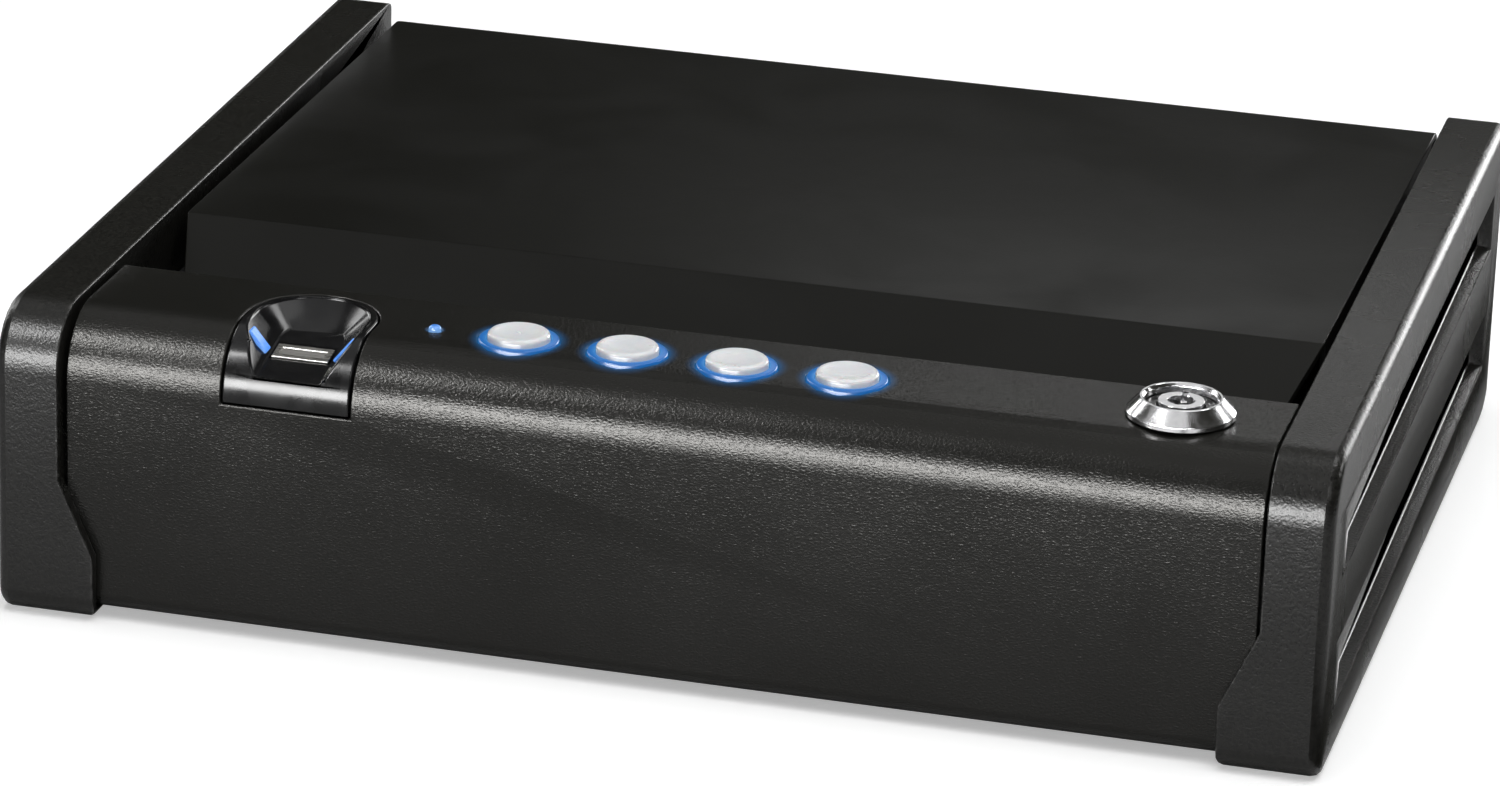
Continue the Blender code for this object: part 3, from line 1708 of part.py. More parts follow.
def under_ramp(y):
    """Height just below the ramp's underside."""
    return lid_top - (front + lid_crease - y) * ramp_slope - ramp_drop


striker_rear = striker_front + striker_width
for label, side in (("left", -1), ("right", 1)):
    x = side * striker_x
    plate = extruded(
        "striker_" + label,
        [
            (striker_front, striker_bottom),
            (striker_rear, striker_bottom),
            (striker_rear, under_ramp(striker_rear)),
            (striker_front, under_ramp(striker_front)),
        ],
        x - striker_half,
        x + striker_half,
        "X",
        plain_steel,
        hinge_axis,
    )
    foot_front = striker_front - striker_foot_run
    foot_rear = striker_rear + striker_foot_run
    foot = extruded(
        "striker foot " + label,
        [
            (foot_front, under_ramp(foot_front) - striker_foot_drop),
            (foot_rear, under_ramp(foot_rear) - striker_foot_drop),
            (foot_rear, under_ramp(foot_rear)),
            (foot_front, under_ramp(foot_front)),
        ],
        x - striker_foot_half,
        x + striker_foot_half,
        "X",
    )
    eye = rod(
        "striker eye " + label,
        (x - striker_half - overrun, latch_pin_y, latch_height),
        (x + striker_half + overrun, latch_pin_y, latch_height),
        latch_hole_radius,
        fastener_sides,
    )
    join(plate, foot)
    cut(plate, eye)

# Lid bumpers: rubber blocks on the shelf that carry the closed lid's ramp
bumper_half = 0.006
bumper_setback = 0.005
bumper_length = 0.007
bumper_front = front + riser_back + bumper_setback
bumper_rear = bumper_front + bumper_length
bumper_points = [
    (bumper_front, shelf_top + seam),
    (bumper_rear, shelf_top + seam),
    (bumper_rear, under_ramp(bumper_rear)),
    (bumper_front, under_ramp(bumper_front)),
]
bumper_pattern = extruded("bumper pattern", bumper_points, -bumper_half, bumper_half, "X")
bumper_x = 0.045
bumper_spots = [at(side * bumper_x, 0.0, 0.0) for side in (-1, 1)]
repeated(("lid_bumper_left", "lid_bumper_right"), bumper_pattern, bumper_spots, rubber)

# Foam: a floor pad in the compartment and a pad under the lid
foam_side_gap = 0.0045
foam_thickness = 0.006
foam_start = bulkhead_rear + bulkhead_flange + running_gap
foam_end = wall_back_inner - running_gap
foam_half = tray_inner - foam_side_gap
box(
    "foam_floor_pad",
    (-foam_half, foam_start, floor_top + seam),
    (foam_half, foam_end, floor_top + seam + foam_thickness),
    foam_grey,
)
lid_pad_thickness = 0.0045
lid_pad_margin = 0.006
lid_pad_half = lid_half - lid_pad_margin
box(
    "foam_lid_pad",
    (-lid_pad_half, front + lid_skirt_start + lid_pad_margin, lid_under - seam - lid_pad_thickness),
    (lid_pad_half, front + lid_skirt_end - lid_pad_margin / 2, lid_under - seam),
    foam_grey,
    pivot=hinge_axis,
)

for obj in parts.objects:
    if obj.type == "MESH" and obj.data.polygons:
        smooth(obj)
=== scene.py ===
import math

import bmesh
import bpy
from mathutils import Matrix, Vector


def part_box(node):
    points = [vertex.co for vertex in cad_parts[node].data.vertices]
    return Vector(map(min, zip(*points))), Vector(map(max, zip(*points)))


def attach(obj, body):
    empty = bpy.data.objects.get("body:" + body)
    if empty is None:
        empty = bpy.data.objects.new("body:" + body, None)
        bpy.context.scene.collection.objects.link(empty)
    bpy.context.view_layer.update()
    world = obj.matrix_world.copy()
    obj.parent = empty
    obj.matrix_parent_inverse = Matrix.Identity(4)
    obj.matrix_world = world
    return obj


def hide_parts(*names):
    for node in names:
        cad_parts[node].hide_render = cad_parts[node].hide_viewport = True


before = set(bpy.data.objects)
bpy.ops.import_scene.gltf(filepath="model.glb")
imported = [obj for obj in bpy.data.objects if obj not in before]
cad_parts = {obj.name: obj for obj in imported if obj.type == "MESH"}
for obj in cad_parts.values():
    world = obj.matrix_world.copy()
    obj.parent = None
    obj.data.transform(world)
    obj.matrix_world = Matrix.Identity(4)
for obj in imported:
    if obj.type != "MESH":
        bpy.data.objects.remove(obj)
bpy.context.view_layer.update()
scene = bpy.context.scene


# Steel tray: the floor and four walls of the safe, pressed and folded from 1.5 mm sheet with four bolt-down holes,
# then powder coated. Every other part is fixed to it. The coat has a faint orange peel, and is thin on the edges.
SHEET_EDGE = 0.00022
WELD = 0.000001
FLAT_DEGREES = 0.5
COAT_WEAR_REACH = 0.00035
COAT_WEAR = 0.35
POWDER_BLACK = (0.018, 0.018, 0.0185, 1.0)
BARE_STEEL = (0.33, 0.33, 0.34, 1.0)


def add_node(tree, kind, sockets=None, **settings):
    """Adds a shader node, and feeds its sockets from numbers, colours or the outputs of other nodes."""
    node = tree.nodes.new(f"ShaderNode{kind}")
    for setting, value in settings.items():
        setattr(node, setting, value)
    for socket, value in (sockets or {}).items():
        if isinstance(value, bpy.types.NodeSocket):
            tree.links.new(value, node.inputs[socket])
        else:
            node.inputs[socket].default_value = value
    return node


def effect(name, taken, given):
    """An empty shader group with named sockets, its input node and its output node."""
    tree = bpy.data.node_groups.new(name, "ShaderNodeTree")
    for label, value in taken.items():
        socket = tree.interface.new_socket(name=label, in_out="INPUT", socket_type="NodeSocketFloat")
        socket.default_value = value
    for label in given:
        tree.interface.new_socket(name=label, in_out="OUTPUT", socket_type="NodeSocketFloat")
    return tree, tree.nodes.new("NodeGroupInput"), tree.nodes.new("NodeGroupOutput")


def use(tree, group, **values):
    """Places a shader group in a material with its own values, and gives its first output."""
    node = tree.nodes.new("ShaderNodeGroup")
    node.node_tree = group
    for label, value in values.items():
        node.inputs[label.replace("_", " ")].default_value = value
    return node.outputs[0]


def new_finish(name, colour, roughness, metallic=0.0, **levels):
    """A material with its node tree and its Principled shader, whose even values are given by name."""
    material = bpy.data.materials.new(name)
    material.use_nodes = True
    shader = material.node_tree.nodes["Principled BSDF"]
    for label, value in {"Base_Color": colour, "Roughness": roughness, "Metallic": metallic, **levels}.items():
        shader.inputs[label.replace("_", " ")].default_value = value
    return material, material.node_tree, shader


def blended(tree, mask, low, high):
    """A colour that goes from low to high as the mask goes from 0 to 1."""
    return add_node(tree, "Mix", {"Factor": mask, 6: low, 7: high}, data_type="RGBA").outputs[2]


def ranged(tree, value, low, high, to_low=0.0, to_high=1.0):
    """A value stretched from one range to another, and held inside it."""
    sockets = {"Value": value, "From Min": low, "From Max": high, "To Min": to_low, "To Max": to_high}
    return add_node(tree, "MapRange", sockets).outputs["Result"]


def reckon(tree, operation, one, other):
    """One sum, product or other reckoning of two values."""
    return add_node(tree, "Math", {0: one, 1: other}, operation=operation).outputs[0]


def own_place(tree):
    """Where a point lies in its piece's own space."""
    return add_node(tree, "TexCoord").outputs["Object"]


def raised(shader, height, depth):
    """Feeds a height pattern of the given depth in metres to a shader's normal."""
    tree = shader.id_data
    bump = add_node(tree, "Bump", {"Height": height, "Distance": depth})
    tree.links.new(bump.outputs["Normal"], shader.inputs["Normal"])


def coloured(shader, mask, low, high, socket="Base Color"):
    """Lets a mask carry a shader's colour from low to high."""
    tree = shader.id_data
    tree.links.new(blended(tree, mask, low, high), shader.inputs[socket])


def roughened(shader, mask, smooth, rough):
    """Lets a mask carry a shader's roughness from smooth to rough."""
    tree = shader.id_data
    tree.links.new(ranged(tree, mask, 0.0, 1.0, smooth, rough), shader.inputs["Roughness"])


# Worn edges and painted highlights: where the surface turns over an edge the coat is thin and rubbed in patches.
# On the caps and the console the same mask, lightened past real wear, also paints a highlight line along the edges
tree, taken, given = effect("worn and painted highlight edges", {"Reach": 0.0005, "Patch Scale": 350.0}, ("Wear And Painted Highlight",))
turned_normal = add_node(tree, "Bevel", {"Radius": taken.outputs["Reach"]}, samples=4).outputs["Normal"]
own_normal = add_node(tree, "NewGeometry").outputs["Normal"]
agreement = add_node(tree, "VectorMath", {0: turned_normal, 1: own_normal}, operation="DOT_PRODUCT")
edge = ranged(tree, agreement.outputs["Value"], 0.985, 0.80)
sockets = {"Vector": own_place(tree), "Scale": taken.outputs["Patch Scale"], "Detail": 4.0}
patch = ranged(tree, add_node(tree, "TexNoise", sockets).outputs[0], 0.40, 0.62)
tree.links.new(reckon(tree, "MULTIPLY", edge, patch), given.inputs["Wear And Painted Highlight"])
worn_and_painted_highlight_edges = tree

# Fine grain: the even, sandy texture of a spark-eroded mould, or of a powder that has flowed out
tree, taken, given = effect("fine grain", {"Scale": 3000.0}, ("Height",))
place = own_place(tree)
scale = taken.outputs["Scale"]
pits = add_node(tree, "TexVoronoi", {"Vector": place, "Scale": scale})
swell = add_node(tree, "TexNoise", {"Vector": place, "Scale": scale, "Detail": 3.0})
deep = reckon(tree, "MULTIPLY", pits.outputs["Distance"], 0.55)
tree.links.new(reckon(tree, "ADD", deep, swell.outputs[0]), given.inputs["Height"])
fine_grain = tree

# Handling: broad soft patches where hands and dust have changed the sheen
tree, taken, given = effect("handling", {"Scale": 30.0}, ("Mask",))
sockets = {"Vector": own_place(tree), "Scale": taken.outputs["Scale"], "Detail": 5.0}
broad = add_node(tree, "TexNoise", {**sockets, "Roughness": 0.55, "Distortion": 0.4})
tree.links.new(ranged(tree, broad.outputs[0], 0.35, 0.68), given.inputs["Mask"])
handling = tree


def coated_steel(name, colour, roughness, peel_scale, peel_depth, wear_colour, **levels):
    """Paint or powder on sheet steel: a rippled coat, uneven sheen, and steel that shows on rubbed edges."""
    material, tree, shader = new_finish(name, colour, roughness, **levels)
    worn = reckon(tree, "MULTIPLY", use(tree, worn_and_painted_highlight_edges, Reach=COAT_WEAR_REACH), COAT_WEAR)
    coloured(shader, worn, colour, wear_colour)
    roughened(shader, use(tree, handling, Scale=26.0), roughness - 0.05, roughness + 0.06)
    raised(shader, use(tree, fine_grain, Scale=peel_scale), peel_depth)
    return material


powder_coat = coated_steel("powder coat", POWDER_BLACK, 0.50, 1500.0, 0.000035, BARE_STEEL)


def shown(piece, body, slot, *nodes):
    """Puts a finished piece on its body, in the place of its CAD nodes."""
    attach(piece, body)
    if nodes:
        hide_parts(*nodes)
    return piece


def eased(piece, edge, sharp_degrees=33.0, segments=3):
    """Rounds every edge sharper than the limit by the given radius, and smooths the bends between."""
    limit = math.radians(sharp_degrees)
    piece.data.polygons.foreach_set("use_smooth", [True] * len(piece.data.polygons))
    piece.data.set_sharp_from_angle(angle=limit)
    if edge:
        bevel = piece.modifiers.new("eased edges", "BEVEL")
        bevel.width = edge
        bevel.segments = segments
        bevel.limit_method = "ANGLE"
        bevel.angle_limit = limit
        bevel.use_clamp_overlap = False
        bevel.harden_normals = True
    return piece


def made_piece(name, bm, *materials):
    """Turns a bmesh into a piece at the origin, with its place in its mesh."""
    mesh = bpy.data.meshes.new(name)
    bm.to_mesh(mesh)
    bm.free()
    for material in materials:
        mesh.materials.append(material)
    piece = bpy.data.objects.new(name, mesh)
    scene.collection.objects.link(piece)
    return piece


def skin_of(node):
    """The surface of a CAD node as one closed shell, with its flat areas joined into whole faces."""
    bm = bmesh.new()
    bm.from_mesh(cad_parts[node].data)
    bmesh.ops.remove_doubles(bm, verts=bm.verts, dist=2 * WELD)
    bmesh.ops.dissolve_limit(bm, angle_limit=math.radians(FLAT_DEGREES), verts=bm.verts, edges=bm.edges)
    return bm


def fabricated(name, node, body, slot, edge, *materials):
    """A part whose form is the CAD node's own, with its edges eased and its bends smoothed."""
    return shown(eased(made_piece(name, skin_of(node), *materials), edge), body, slot, node)


fabricated("steel_tray", "base_tray", "base", "powder_coat", SHEET_EDGE, powder_coat)


# Rubber feet: four soft pads moulded with a domed rim, stuck under the tray floor. They pick up dust where they
# touch the table, so the rubber is a little greyer there.
FOOT_RADIUS = 0.0060
FOOT_EDGE = 0.0006
FOOT_SOLE_SHARE = 0.97
RUBBER_BLACK = (0.016, 0.016, 0.016, 1.0)
DUSTY_RUBBER = (0.060, 0.058, 0.055, 1.0)


def patchy(name, low, high, smooth, rough, patch_scale, metallic=0.0, **levels):
    """A finish that handling has changed in soft patches, from one colour and roughness to another."""
    material, tree, shader = new_finish(name, low, smooth, metallic, **levels)
    patches = use(tree, handling, Scale=patch_scale)
    coloured(shader, patches, low, high)
    roughened(shader, patches, smooth, rough)
    return material, tree, shader


rubber, tree, shader = patchy("black rubber", RUBBER_BLACK, DUSTY_RUBBER, 0.70, 0.88, 140.0)
raised(shader, use(tree, fine_grain, Scale=2600.0), 0.00004)


def turned(profile, sides, closed=False):
    """A form of revolution about Z, from pairs of radius and height."""
    bm = bmesh.new()
    line = [bm.verts.new((radius, 0.0, height)) for radius, height in profile]
    edges = [bm.edges.new(pair) for pair in zip(line, line[1:])]
    if closed:
        edges.append(bm.edges.new((line[-1], line[0])))
    whole = {"cent": (0.0, 0.0, 0.0), "axis": (0.0, 0.0, 1.0), "angle": 2 * math.pi, "use_merge": True}
    bmesh.ops.spin(bm, geom=line + edges, steps=sides, **whole)
    bmesh.ops.remove_doubles(bm, verts=bm.verts, dist=WELD)
    bmesh.ops.recalc_face_normals(bm, faces=bm.faces)
    return bm


def laid(bm, centre, direction=(0.0, 0.0, 1.0)):
    """Moves a form made about Z to its place, with its Z along the given direction."""
    turn = Vector((0.0, 0.0, 1.0)).rotation_difference(Vector(direction)).to_matrix().to_4x4()
    bmesh.ops.transform(bm, matrix=Matrix.Translation(centre) @ turn, verts=bm.verts)
    return bm


def middle_of(node):
    """The middle of a CAD node's box."""
    low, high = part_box(node)
    return (low + high) / 2


for number in range(1, 5):
    node = f"rubber_foot_{number}"
    low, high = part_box(node)
    centre = middle_of(node)
    sole = FOOT_RADIUS * FOOT_SOLE_SHARE
    pad = turned([(0.0, high.z), (FOOT_RADIUS, high.z), (sole, low.z), (FOOT_RADIUS / 2, low.z), (0.0, low.z)], 48)
    foot = made_piece(f"rubber_pad_{number}", laid(pad, (centre.x, centre.y, 0.0)), rubber)
    shown(eased(foot, FOOT_EDGE), "base", "rubber", node)


# Side caps: two glass-filled nylon mouldings with the sandy texture of a spark-eroded mould. Each has two long
# channels and deeper pockets on its outer side, ribbed cells inside, and a foot that wraps the console's lower end.
CAP_EDGE = 0.00035
CAP_BLACK = (0.0058, 0.0056, 0.0048, 1.0)
CAP_SPECKLE = (0.022, 0.0215, 0.0185, 1.0)
CAP_RUBBED_AND_PAINTED_HIGHLIGHT = (0.30, 0.295, 0.285, 1.0)
CAP_WEAR_AND_PAINTED_HIGHLIGHT = 0.70
CAP_GRAIN = 0.000042

cap_plastic, tree, shader = new_finish("sandy cap plastic", CAP_BLACK, 0.40, Specular_IOR_Level=0.26)
grain = use(tree, fine_grain, Scale=2300.0)
mottle = use(tree, fine_grain, Scale=1100.0)
# The edge mask lightens every cap edge well past real wear: partly rubbed plastic, partly a painted highlight line
edge_wear_and_painted_highlight = reckon(tree, "MULTIPLY", use(tree, worn_and_painted_highlight_edges, Reach=0.0007, Patch_Scale=500.0), CAP_WEAR_AND_PAINTED_HIGHLIGHT)
speckle = reckon(tree, "MULTIPLY", ranged(tree, mottle, 0.55, 1.05), 0.5)
coloured(shader, edge_wear_and_painted_highlight, blended(tree, speckle, CAP_BLACK, CAP_SPECKLE), CAP_RUBBED_AND_PAINTED_HIGHLIGHT)
roughened(shader, use(tree, handling, Scale=22.0), 0.26, 0.30)
raised(shader, reckon(tree, "ADD", grain, mottle), CAP_GRAIN)


def held_to_width(piece, node):
    """Makes the eased edges part of the mesh, and holds their points inside the cap's own outer face."""
    outer_face = max(abs(point.co.x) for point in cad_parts[node].data.vertices)
    graph = bpy.context.evaluated_depsgraph_get()
    mesh = bpy.data.meshes.new_from_object(piece.evaluated_get(graph), depsgraph=graph)
    for point in mesh.vertices:
        point.co.x = max(-outer_face, min(outer_face, point.co.x))
    piece.modifiers.clear()
    piece.data = mesh
    return piece


for side in ("left", "right"):
    node = f"side_cap_{side}"
    moulding = eased(made_piece(f"{side}_cap_moulding", skin_of(node), cap_plastic), CAP_EDGE)
    shown(held_to_width(moulding, node), "base", "cap_plastic", node)


# Screws: M3 pan heads with a cross recess, cold formed and zinc plated. Four hold the caps and two the console from
# inside the tray, and two hold the bulkhead's foot to the floor.
SCREW_RADIUS = 0.0015
SCREW_HEAD_RADIUS = 0.0027
SCREW_HEAD_HEIGHT = 0.0018
RECESS_HALF = 0.0014
RECESS_WIDTH = 0.00055
RECESS_DEPTH = 0.0011
THREAD_PITCH = 0.0006
THREAD_ROOT = SCREW_RADIUS * 0.80
SCREW_EDGE = 0.00008
CAP_SCREW_LENGTH = 0.0095
CONSOLE_SCREW_LENGTH = 0.0045
BULKHEAD_SCREW_LENGTH = 0.0036
ZINC = (0.56, 0.57, 0.58, 1.0)
ZINC_DULL = (0.40, 0.41, 0.43, 1.0)

# Long streaks: the fine lines that rolling, drawing or brushing leaves along a metal
tree, taken, given = effect("long streaks", {"Scale": 400.0, "Length": 12.0}, ("Streak",))
parts = add_node(tree, "SeparateXYZ", {0: own_place(tree)}).outputs
along = reckon(tree, "DIVIDE", parts[0], taken.outputs["Length"])
drawn = add_node(tree, "CombineXYZ", {0: along, 1: parts[1], 2: parts[2]}).outputs[0]
sockets = {"Vector": drawn, "Scale": taken.outputs["Scale"], "Detail": 6.0, "Roughness": 0.65}
lines = add_node(tree, "TexNoise", sockets)
tree.links.new(ranged(tree, lines.outputs[0], 0.30, 0.70), given.inputs["Streak"])
long_streaks = tree

zinc_steel, tree, shader = new_finish("zinc plated steel", ZINC, 0.34, 1.0)
streak = use(tree, long_streaks, Scale=900.0, Length=9.0)
coloured(shader, use(tree, handling, Scale=180.0), ZINC, ZINC_DULL)
roughened(shader, streak, 0.26, 0.44)
raised(shader, streak, 0.000006)


def carved(piece, cutter, operation="DIFFERENCE"):
    """Cuts one piece with another, which is used up."""
    boolean = piece.modifiers.new("carve", "BOOLEAN")
    boolean.object = cutter
    boolean.operation = operation
    boolean.solver = "EXACT"
    graph = bpy.context.evaluated_depsgraph_get()
    piece.data = bpy.data.meshes.new_from_object(piece.evaluated_get(graph))
    piece.modifiers.remove(boolean)
    bpy.data.objects.remove(cutter)
    return piece


def block(size, centre=(0.0, 0.0, 0.0)):
    """A rectangular form of the given size about a centre."""
    bm = bmesh.new()
    bmesh.ops.create_cube(bm, size=1.0, matrix=Matrix.Translation(centre) @ Matrix.Diagonal((*size, 1.0)))
    return bm


def screw_form(length):
    """A pan head screw with its head above zero and a rolled thread below."""
    rise = SCREW_HEAD_HEIGHT
    head = [(0.0, rise), (SCREW_HEAD_RADIUS * 0.55, rise * 0.98), (SCREW_HEAD_RADIUS * 0.85, rise * 0.75)]
    head += [(SCREW_HEAD_RADIUS, rise * 0.30), (SCREW_HEAD_RADIUS, 0.0)]
    thread = [(THREAD_ROOT, -THREAD_PITCH / 3)]
    for turn in range(int(length / THREAD_PITCH) - 1):
        start = -THREAD_PITCH * (turn + 2 / 3)
        thread += [(THREAD_ROOT, start), (SCREW_RADIUS, start - THREAD_PITCH / 2)]
    tip = [(THREAD_ROOT, -length + THREAD_PITCH / 2), (SCREW_RADIUS / 2, -length), (0.0, -length)]
    screw = made_piece("screw form", turned(head + thread + tip, 32), zinc_steel)
    deep = (0.0, 0.0, SCREW_HEAD_HEIGHT)
    for along, across in ((2 * RECESS_HALF, RECESS_WIDTH), (RECESS_WIDTH, 2 * RECESS_HALF)):
        carved(screw, made_piece("recess", block((along, across, 2 * RECESS_DEPTH), deep)))
    mesh = screw.data
    bpy.data.objects.remove(screw)
    return mesh


def driven(names, mesh, direction):
    """Puts a screw in each named node's place, with its head in the given direction."""
    towards = Vector(direction)
    reach = max(vert.co.z for vert in mesh.vertices)
    for node in names:
        low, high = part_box(node)
        half = (high - low).dot(Vector(map(abs, direction))) / 2
        bm = bmesh.new()
        bm.from_mesh(mesh)
        laid(bm, middle_of(node) + towards * (half - reach), direction)
        piece = made_piece(f"{node}_pan_head", bm, zinc_steel)
        shown(eased(piece, SCREW_EDGE, 40.0, 2), "base", "zinc_steel", node)


cap_screw = screw_form(CAP_SCREW_LENGTH)
driven(("side_cap_screw_1", "side_cap_screw_2"), cap_screw, (1.0, 0.0, 0.0))
driven(("side_cap_screw_3", "side_cap_screw_4"), cap_screw, (-1.0, 0.0, 0.0))
driven(("console_screw_1", "console_screw_2"), screw_form(CONSOLE_SCREW_LENGTH), (0.0, 1.0, 0.0))
driven(("bulkhead_screw_1", "bulkhead_screw_2"), screw_form(BULKHEAD_SCREW_LENGTH), (0.0, 0.0, 1.0))


# Lock bulkhead: one bent and powder coated sheet that makes the finger gutter behind the console, the shelf under
# the lid's ramp and the wall in front of the compartment. Two rubber blocks on the shelf carry the closed lid.
BUMPER_EDGE = 0.0008

fabricated("bulkhead_sheet", "lock_bulkhead", "base", "powder_coat", SHEET_EDGE, powder_coat)
for side in ("left", "right"):
    fabricated(f"{side}_rubber_block", f"lid_bumper_{side}", "base", "rubber", BUMPER_EDGE, rubber)


# Battery bay: a polypropylene holder with nickel contacts, a door that snaps into the bulkhead and turns on a steel
# pin, and a red lead that runs forward to the circuit board.
HOLDER_EDGE = 0.00018
PIN_EDGE = 0.00015
HOLDER_BLACK = (0.020, 0.020, 0.021, 1.0)
HOLDER_RUBBED = (0.028, 0.028, 0.029, 1.0)
NICKEL = (0.66, 0.63, 0.57, 1.0)
NICKEL_DULL = (0.54, 0.51, 0.46, 1.0)
LEAD_RED = (0.36, 0.014, 0.012, 1.0)
LEAD_DULL = (0.22, 0.010, 0.010, 1.0)
CONTACT_ROOM = (0.0017, 0.0052)
CONTACT_HALF = 0.0020
CONTACT_AREA = 0.0001

holder_plastic, tree, shader = patchy("holder plastic", HOLDER_BLACK, HOLDER_RUBBED, 0.36, 0.50, 60.0)
raised(shader, use(tree, fine_grain, Scale=3200.0), 0.00002)
lead_red = patchy("lead insulation", LEAD_RED, LEAD_DULL, 0.34, 0.52, 210.0)[0]
nickel, tree, shader = new_finish("nickel contact", NICKEL, 0.28, 1.0)
streak = use(tree, long_streaks, Scale=1400.0, Length=0.2)
coloured(shader, streak, NICKEL, NICKEL_DULL)
roughened(shader, streak, 0.20, 0.36)

holder = fabricated("cell_holder", "battery_holder", "base", "holder_plastic", HOLDER_EDGE, holder_plastic, nickel)
low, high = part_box("battery_holder")
for face in holder.data.polygons:
    from_end = min(face.center.x - low.x, high.x - face.center.x)
    off_axis = min(abs(face.center.z - middle_of(cell).z) for cell in ("battery_1", "battery_3"))
    if CONTACT_ROOM[0] < from_end < CONTACT_ROOM[1] and off_axis < CONTACT_HALF and face.area < CONTACT_AREA:
        face.material_index = 1
fabricated("bay_door", "battery_door", "battery_door", "console_plastic", HOLDER_EDGE, holder_plastic)
fabricated("bay_door_pin", "battery_door_pin", "base", "zinc_steel", PIN_EDGE, zinc_steel)
fabricated("bay_lead", "battery_lead", "base", "lead_insulation", 0.0, lead_red)


# Cells: four AA cells, drawn steel cans in a shrunk sleeve of two plain colours, with a button on the positive end.
# They lie in two rows, turned head to tail.
CELL_RADIUS = 0.0071
CELL_LENGTH = 0.0505
BUTTON_RADIUS = 0.00275
BUTTON_RISE = 0.0010
SLEEVE_TURN = 0.0009
BAND_SHARE = 0.30
SLEEVE_DARK = (0.022, 0.023, 0.026, 1.0)
SLEEVE_BAND = (0.42, 0.20, 0.075, 1.0)
CAN = (0.60, 0.60, 0.61, 1.0)
CAN_DULL = (0.50, 0.50, 0.50, 1.0)
CELL_EDGE = 0.00012
END_HOLLOW = 0.0003
HOLLOW_RADIUS = 0.0046
HOLLOW_RIM = 0.0052
NECK_STEP = 0.0004

can_steel = patchy("cell can", CAN, CAN_DULL, 0.20, 0.36, 320.0, 1.0)[0]


def sleeve(name, colour, metallic, roughness):
    """Shrunk film round the can: glossy, with faint waves and rubbed marks."""
    faded = tuple(0.8 * value for value in colour[:3]) + (1.0,)
    material, tree, shader = patchy(name, colour, faded, roughness - 0.06, roughness + 0.10, 95.0, metallic)
    raised(shader, use(tree, handling, Scale=95.0), 0.00004)
    return material


dark_sleeve = sleeve("dark cell sleeve", SLEEVE_DARK, 0.0, 0.24)
copper_sleeve = sleeve("copper cell sleeve", SLEEVE_BAND, 0.6, 0.30)

start = -CELL_LENGTH / 2
button_top = CELL_LENGTH / 2
shoulder = button_top - BUTTON_RISE
band_start = shoulder - BAND_SHARE * CELL_LENGTH
rim = CELL_RADIUS - SLEEVE_TURN
can_profile = [(0.0, start + END_HOLLOW), (HOLLOW_RADIUS, start + END_HOLLOW), (HOLLOW_RIM, start), (rim, start)]
can_profile += [(CELL_RADIUS, start + END_HOLLOW), (CELL_RADIUS, band_start), (CELL_RADIUS, shoulder - NECK_STEP)]
can_profile += [(CELL_RADIUS - NECK_STEP, shoulder), (rim - SLEEVE_TURN, shoulder - 0.0001)]
can_profile += [(BUTTON_RADIUS + 0.0006, shoulder - NECK_STEP), (BUTTON_RADIUS, shoulder)]
can_profile += [(BUTTON_RADIUS - 0.0002, button_top), (0.0, button_top)]

for number in range(1, 5):
    node = f"battery_{number}"
    facing = 1.0 if number <= 2 else -1.0
    centre = middle_of(node)
    can = laid(turned(can_profile, 48), centre, (facing, 0.0, 0.0))
    cell = made_piece(f"cell_{number}", can, dark_sleeve, can_steel, copper_sleeve)
    for face in cell.data.polygons:
        off = math.hypot(face.center.y - centre.y, face.center.z - centre.z)
        if off < rim - 0.0005:
            face.material_index = 1
        elif (face.center.x - centre.x) * facing > band_start:
            face.material_index = 2
    shown(eased(cell, CELL_EDGE, 40.0, 2), "base", "cell_can", node)


# Latch works: the bar with its two pins, fork and tab, which catches the lid's strikers, and the acetal guides that
# it slides in. The bar is blanked and formed steel, zinc plated.
BLANKED_EDGE = 0.00015

fabricated("latch_slide_bar", "latch_bar", "latch", "zinc_steel", BLANKED_EDGE, zinc_steel)
for side in ("left", "right"):
    fabricated(f"{side}_bar_guide", f"latch_guide_{side}", "base", "holder_plastic", HOLDER_EDGE, holder_plastic)


# Solenoid: a folded steel frame round a bobbin wound with enamelled copper wire, and a polished plunger that pulls
# the latch bar. Each turn of the wire shows as a fine ridge.
WIRE_PITCH = 0.0004
WIRE_ROUND = 0.00008
COIL_BORE = 0.0018
COPPER = (0.58, 0.22, 0.075, 1.0)
COPPER_DARK = (0.36, 0.11, 0.035, 1.0)
PLUNGER_EDGE = 0.00010
WAIST_SHARE = 0.8
WAIST_STARTS = 0.0012
WAIST_ENDS = 0.0024
WAIST_BEVEL = 0.0002

enamelled_copper = patchy("enamelled copper", COPPER, COPPER_DARK, 0.24, 0.42, 260.0, 1.0)[0]

low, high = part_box("solenoid_coil")
coil_radius = (high.z - low.z) / 2
valley = coil_radius - WIRE_ROUND
coil_end = (high.x - low.x) / 2
turns = int(2 * coil_end / WIRE_PITCH)
pitch = 2 * coil_end / turns
wound = [(COIL_BORE, -coil_end)]
for index in range(turns):
    start = -coil_end + index * pitch
    wound += [(valley, start), (coil_radius, start + pitch / 2)]
wound = turned([*wound, (valley, coil_end), (COIL_BORE, coil_end)], 40, closed=True)
coil = made_piece("copper_coil", laid(wound, middle_of("solenoid_coil"), (1.0, 0.0, 0.0)), enamelled_copper)
shown(eased(coil, 0.0, 60.0), "base", "copper_winding", "solenoid_coil")
fabricated("coil_frame", "solenoid_frame", "base", "zinc_steel", BLANKED_EDGE, zinc_steel)

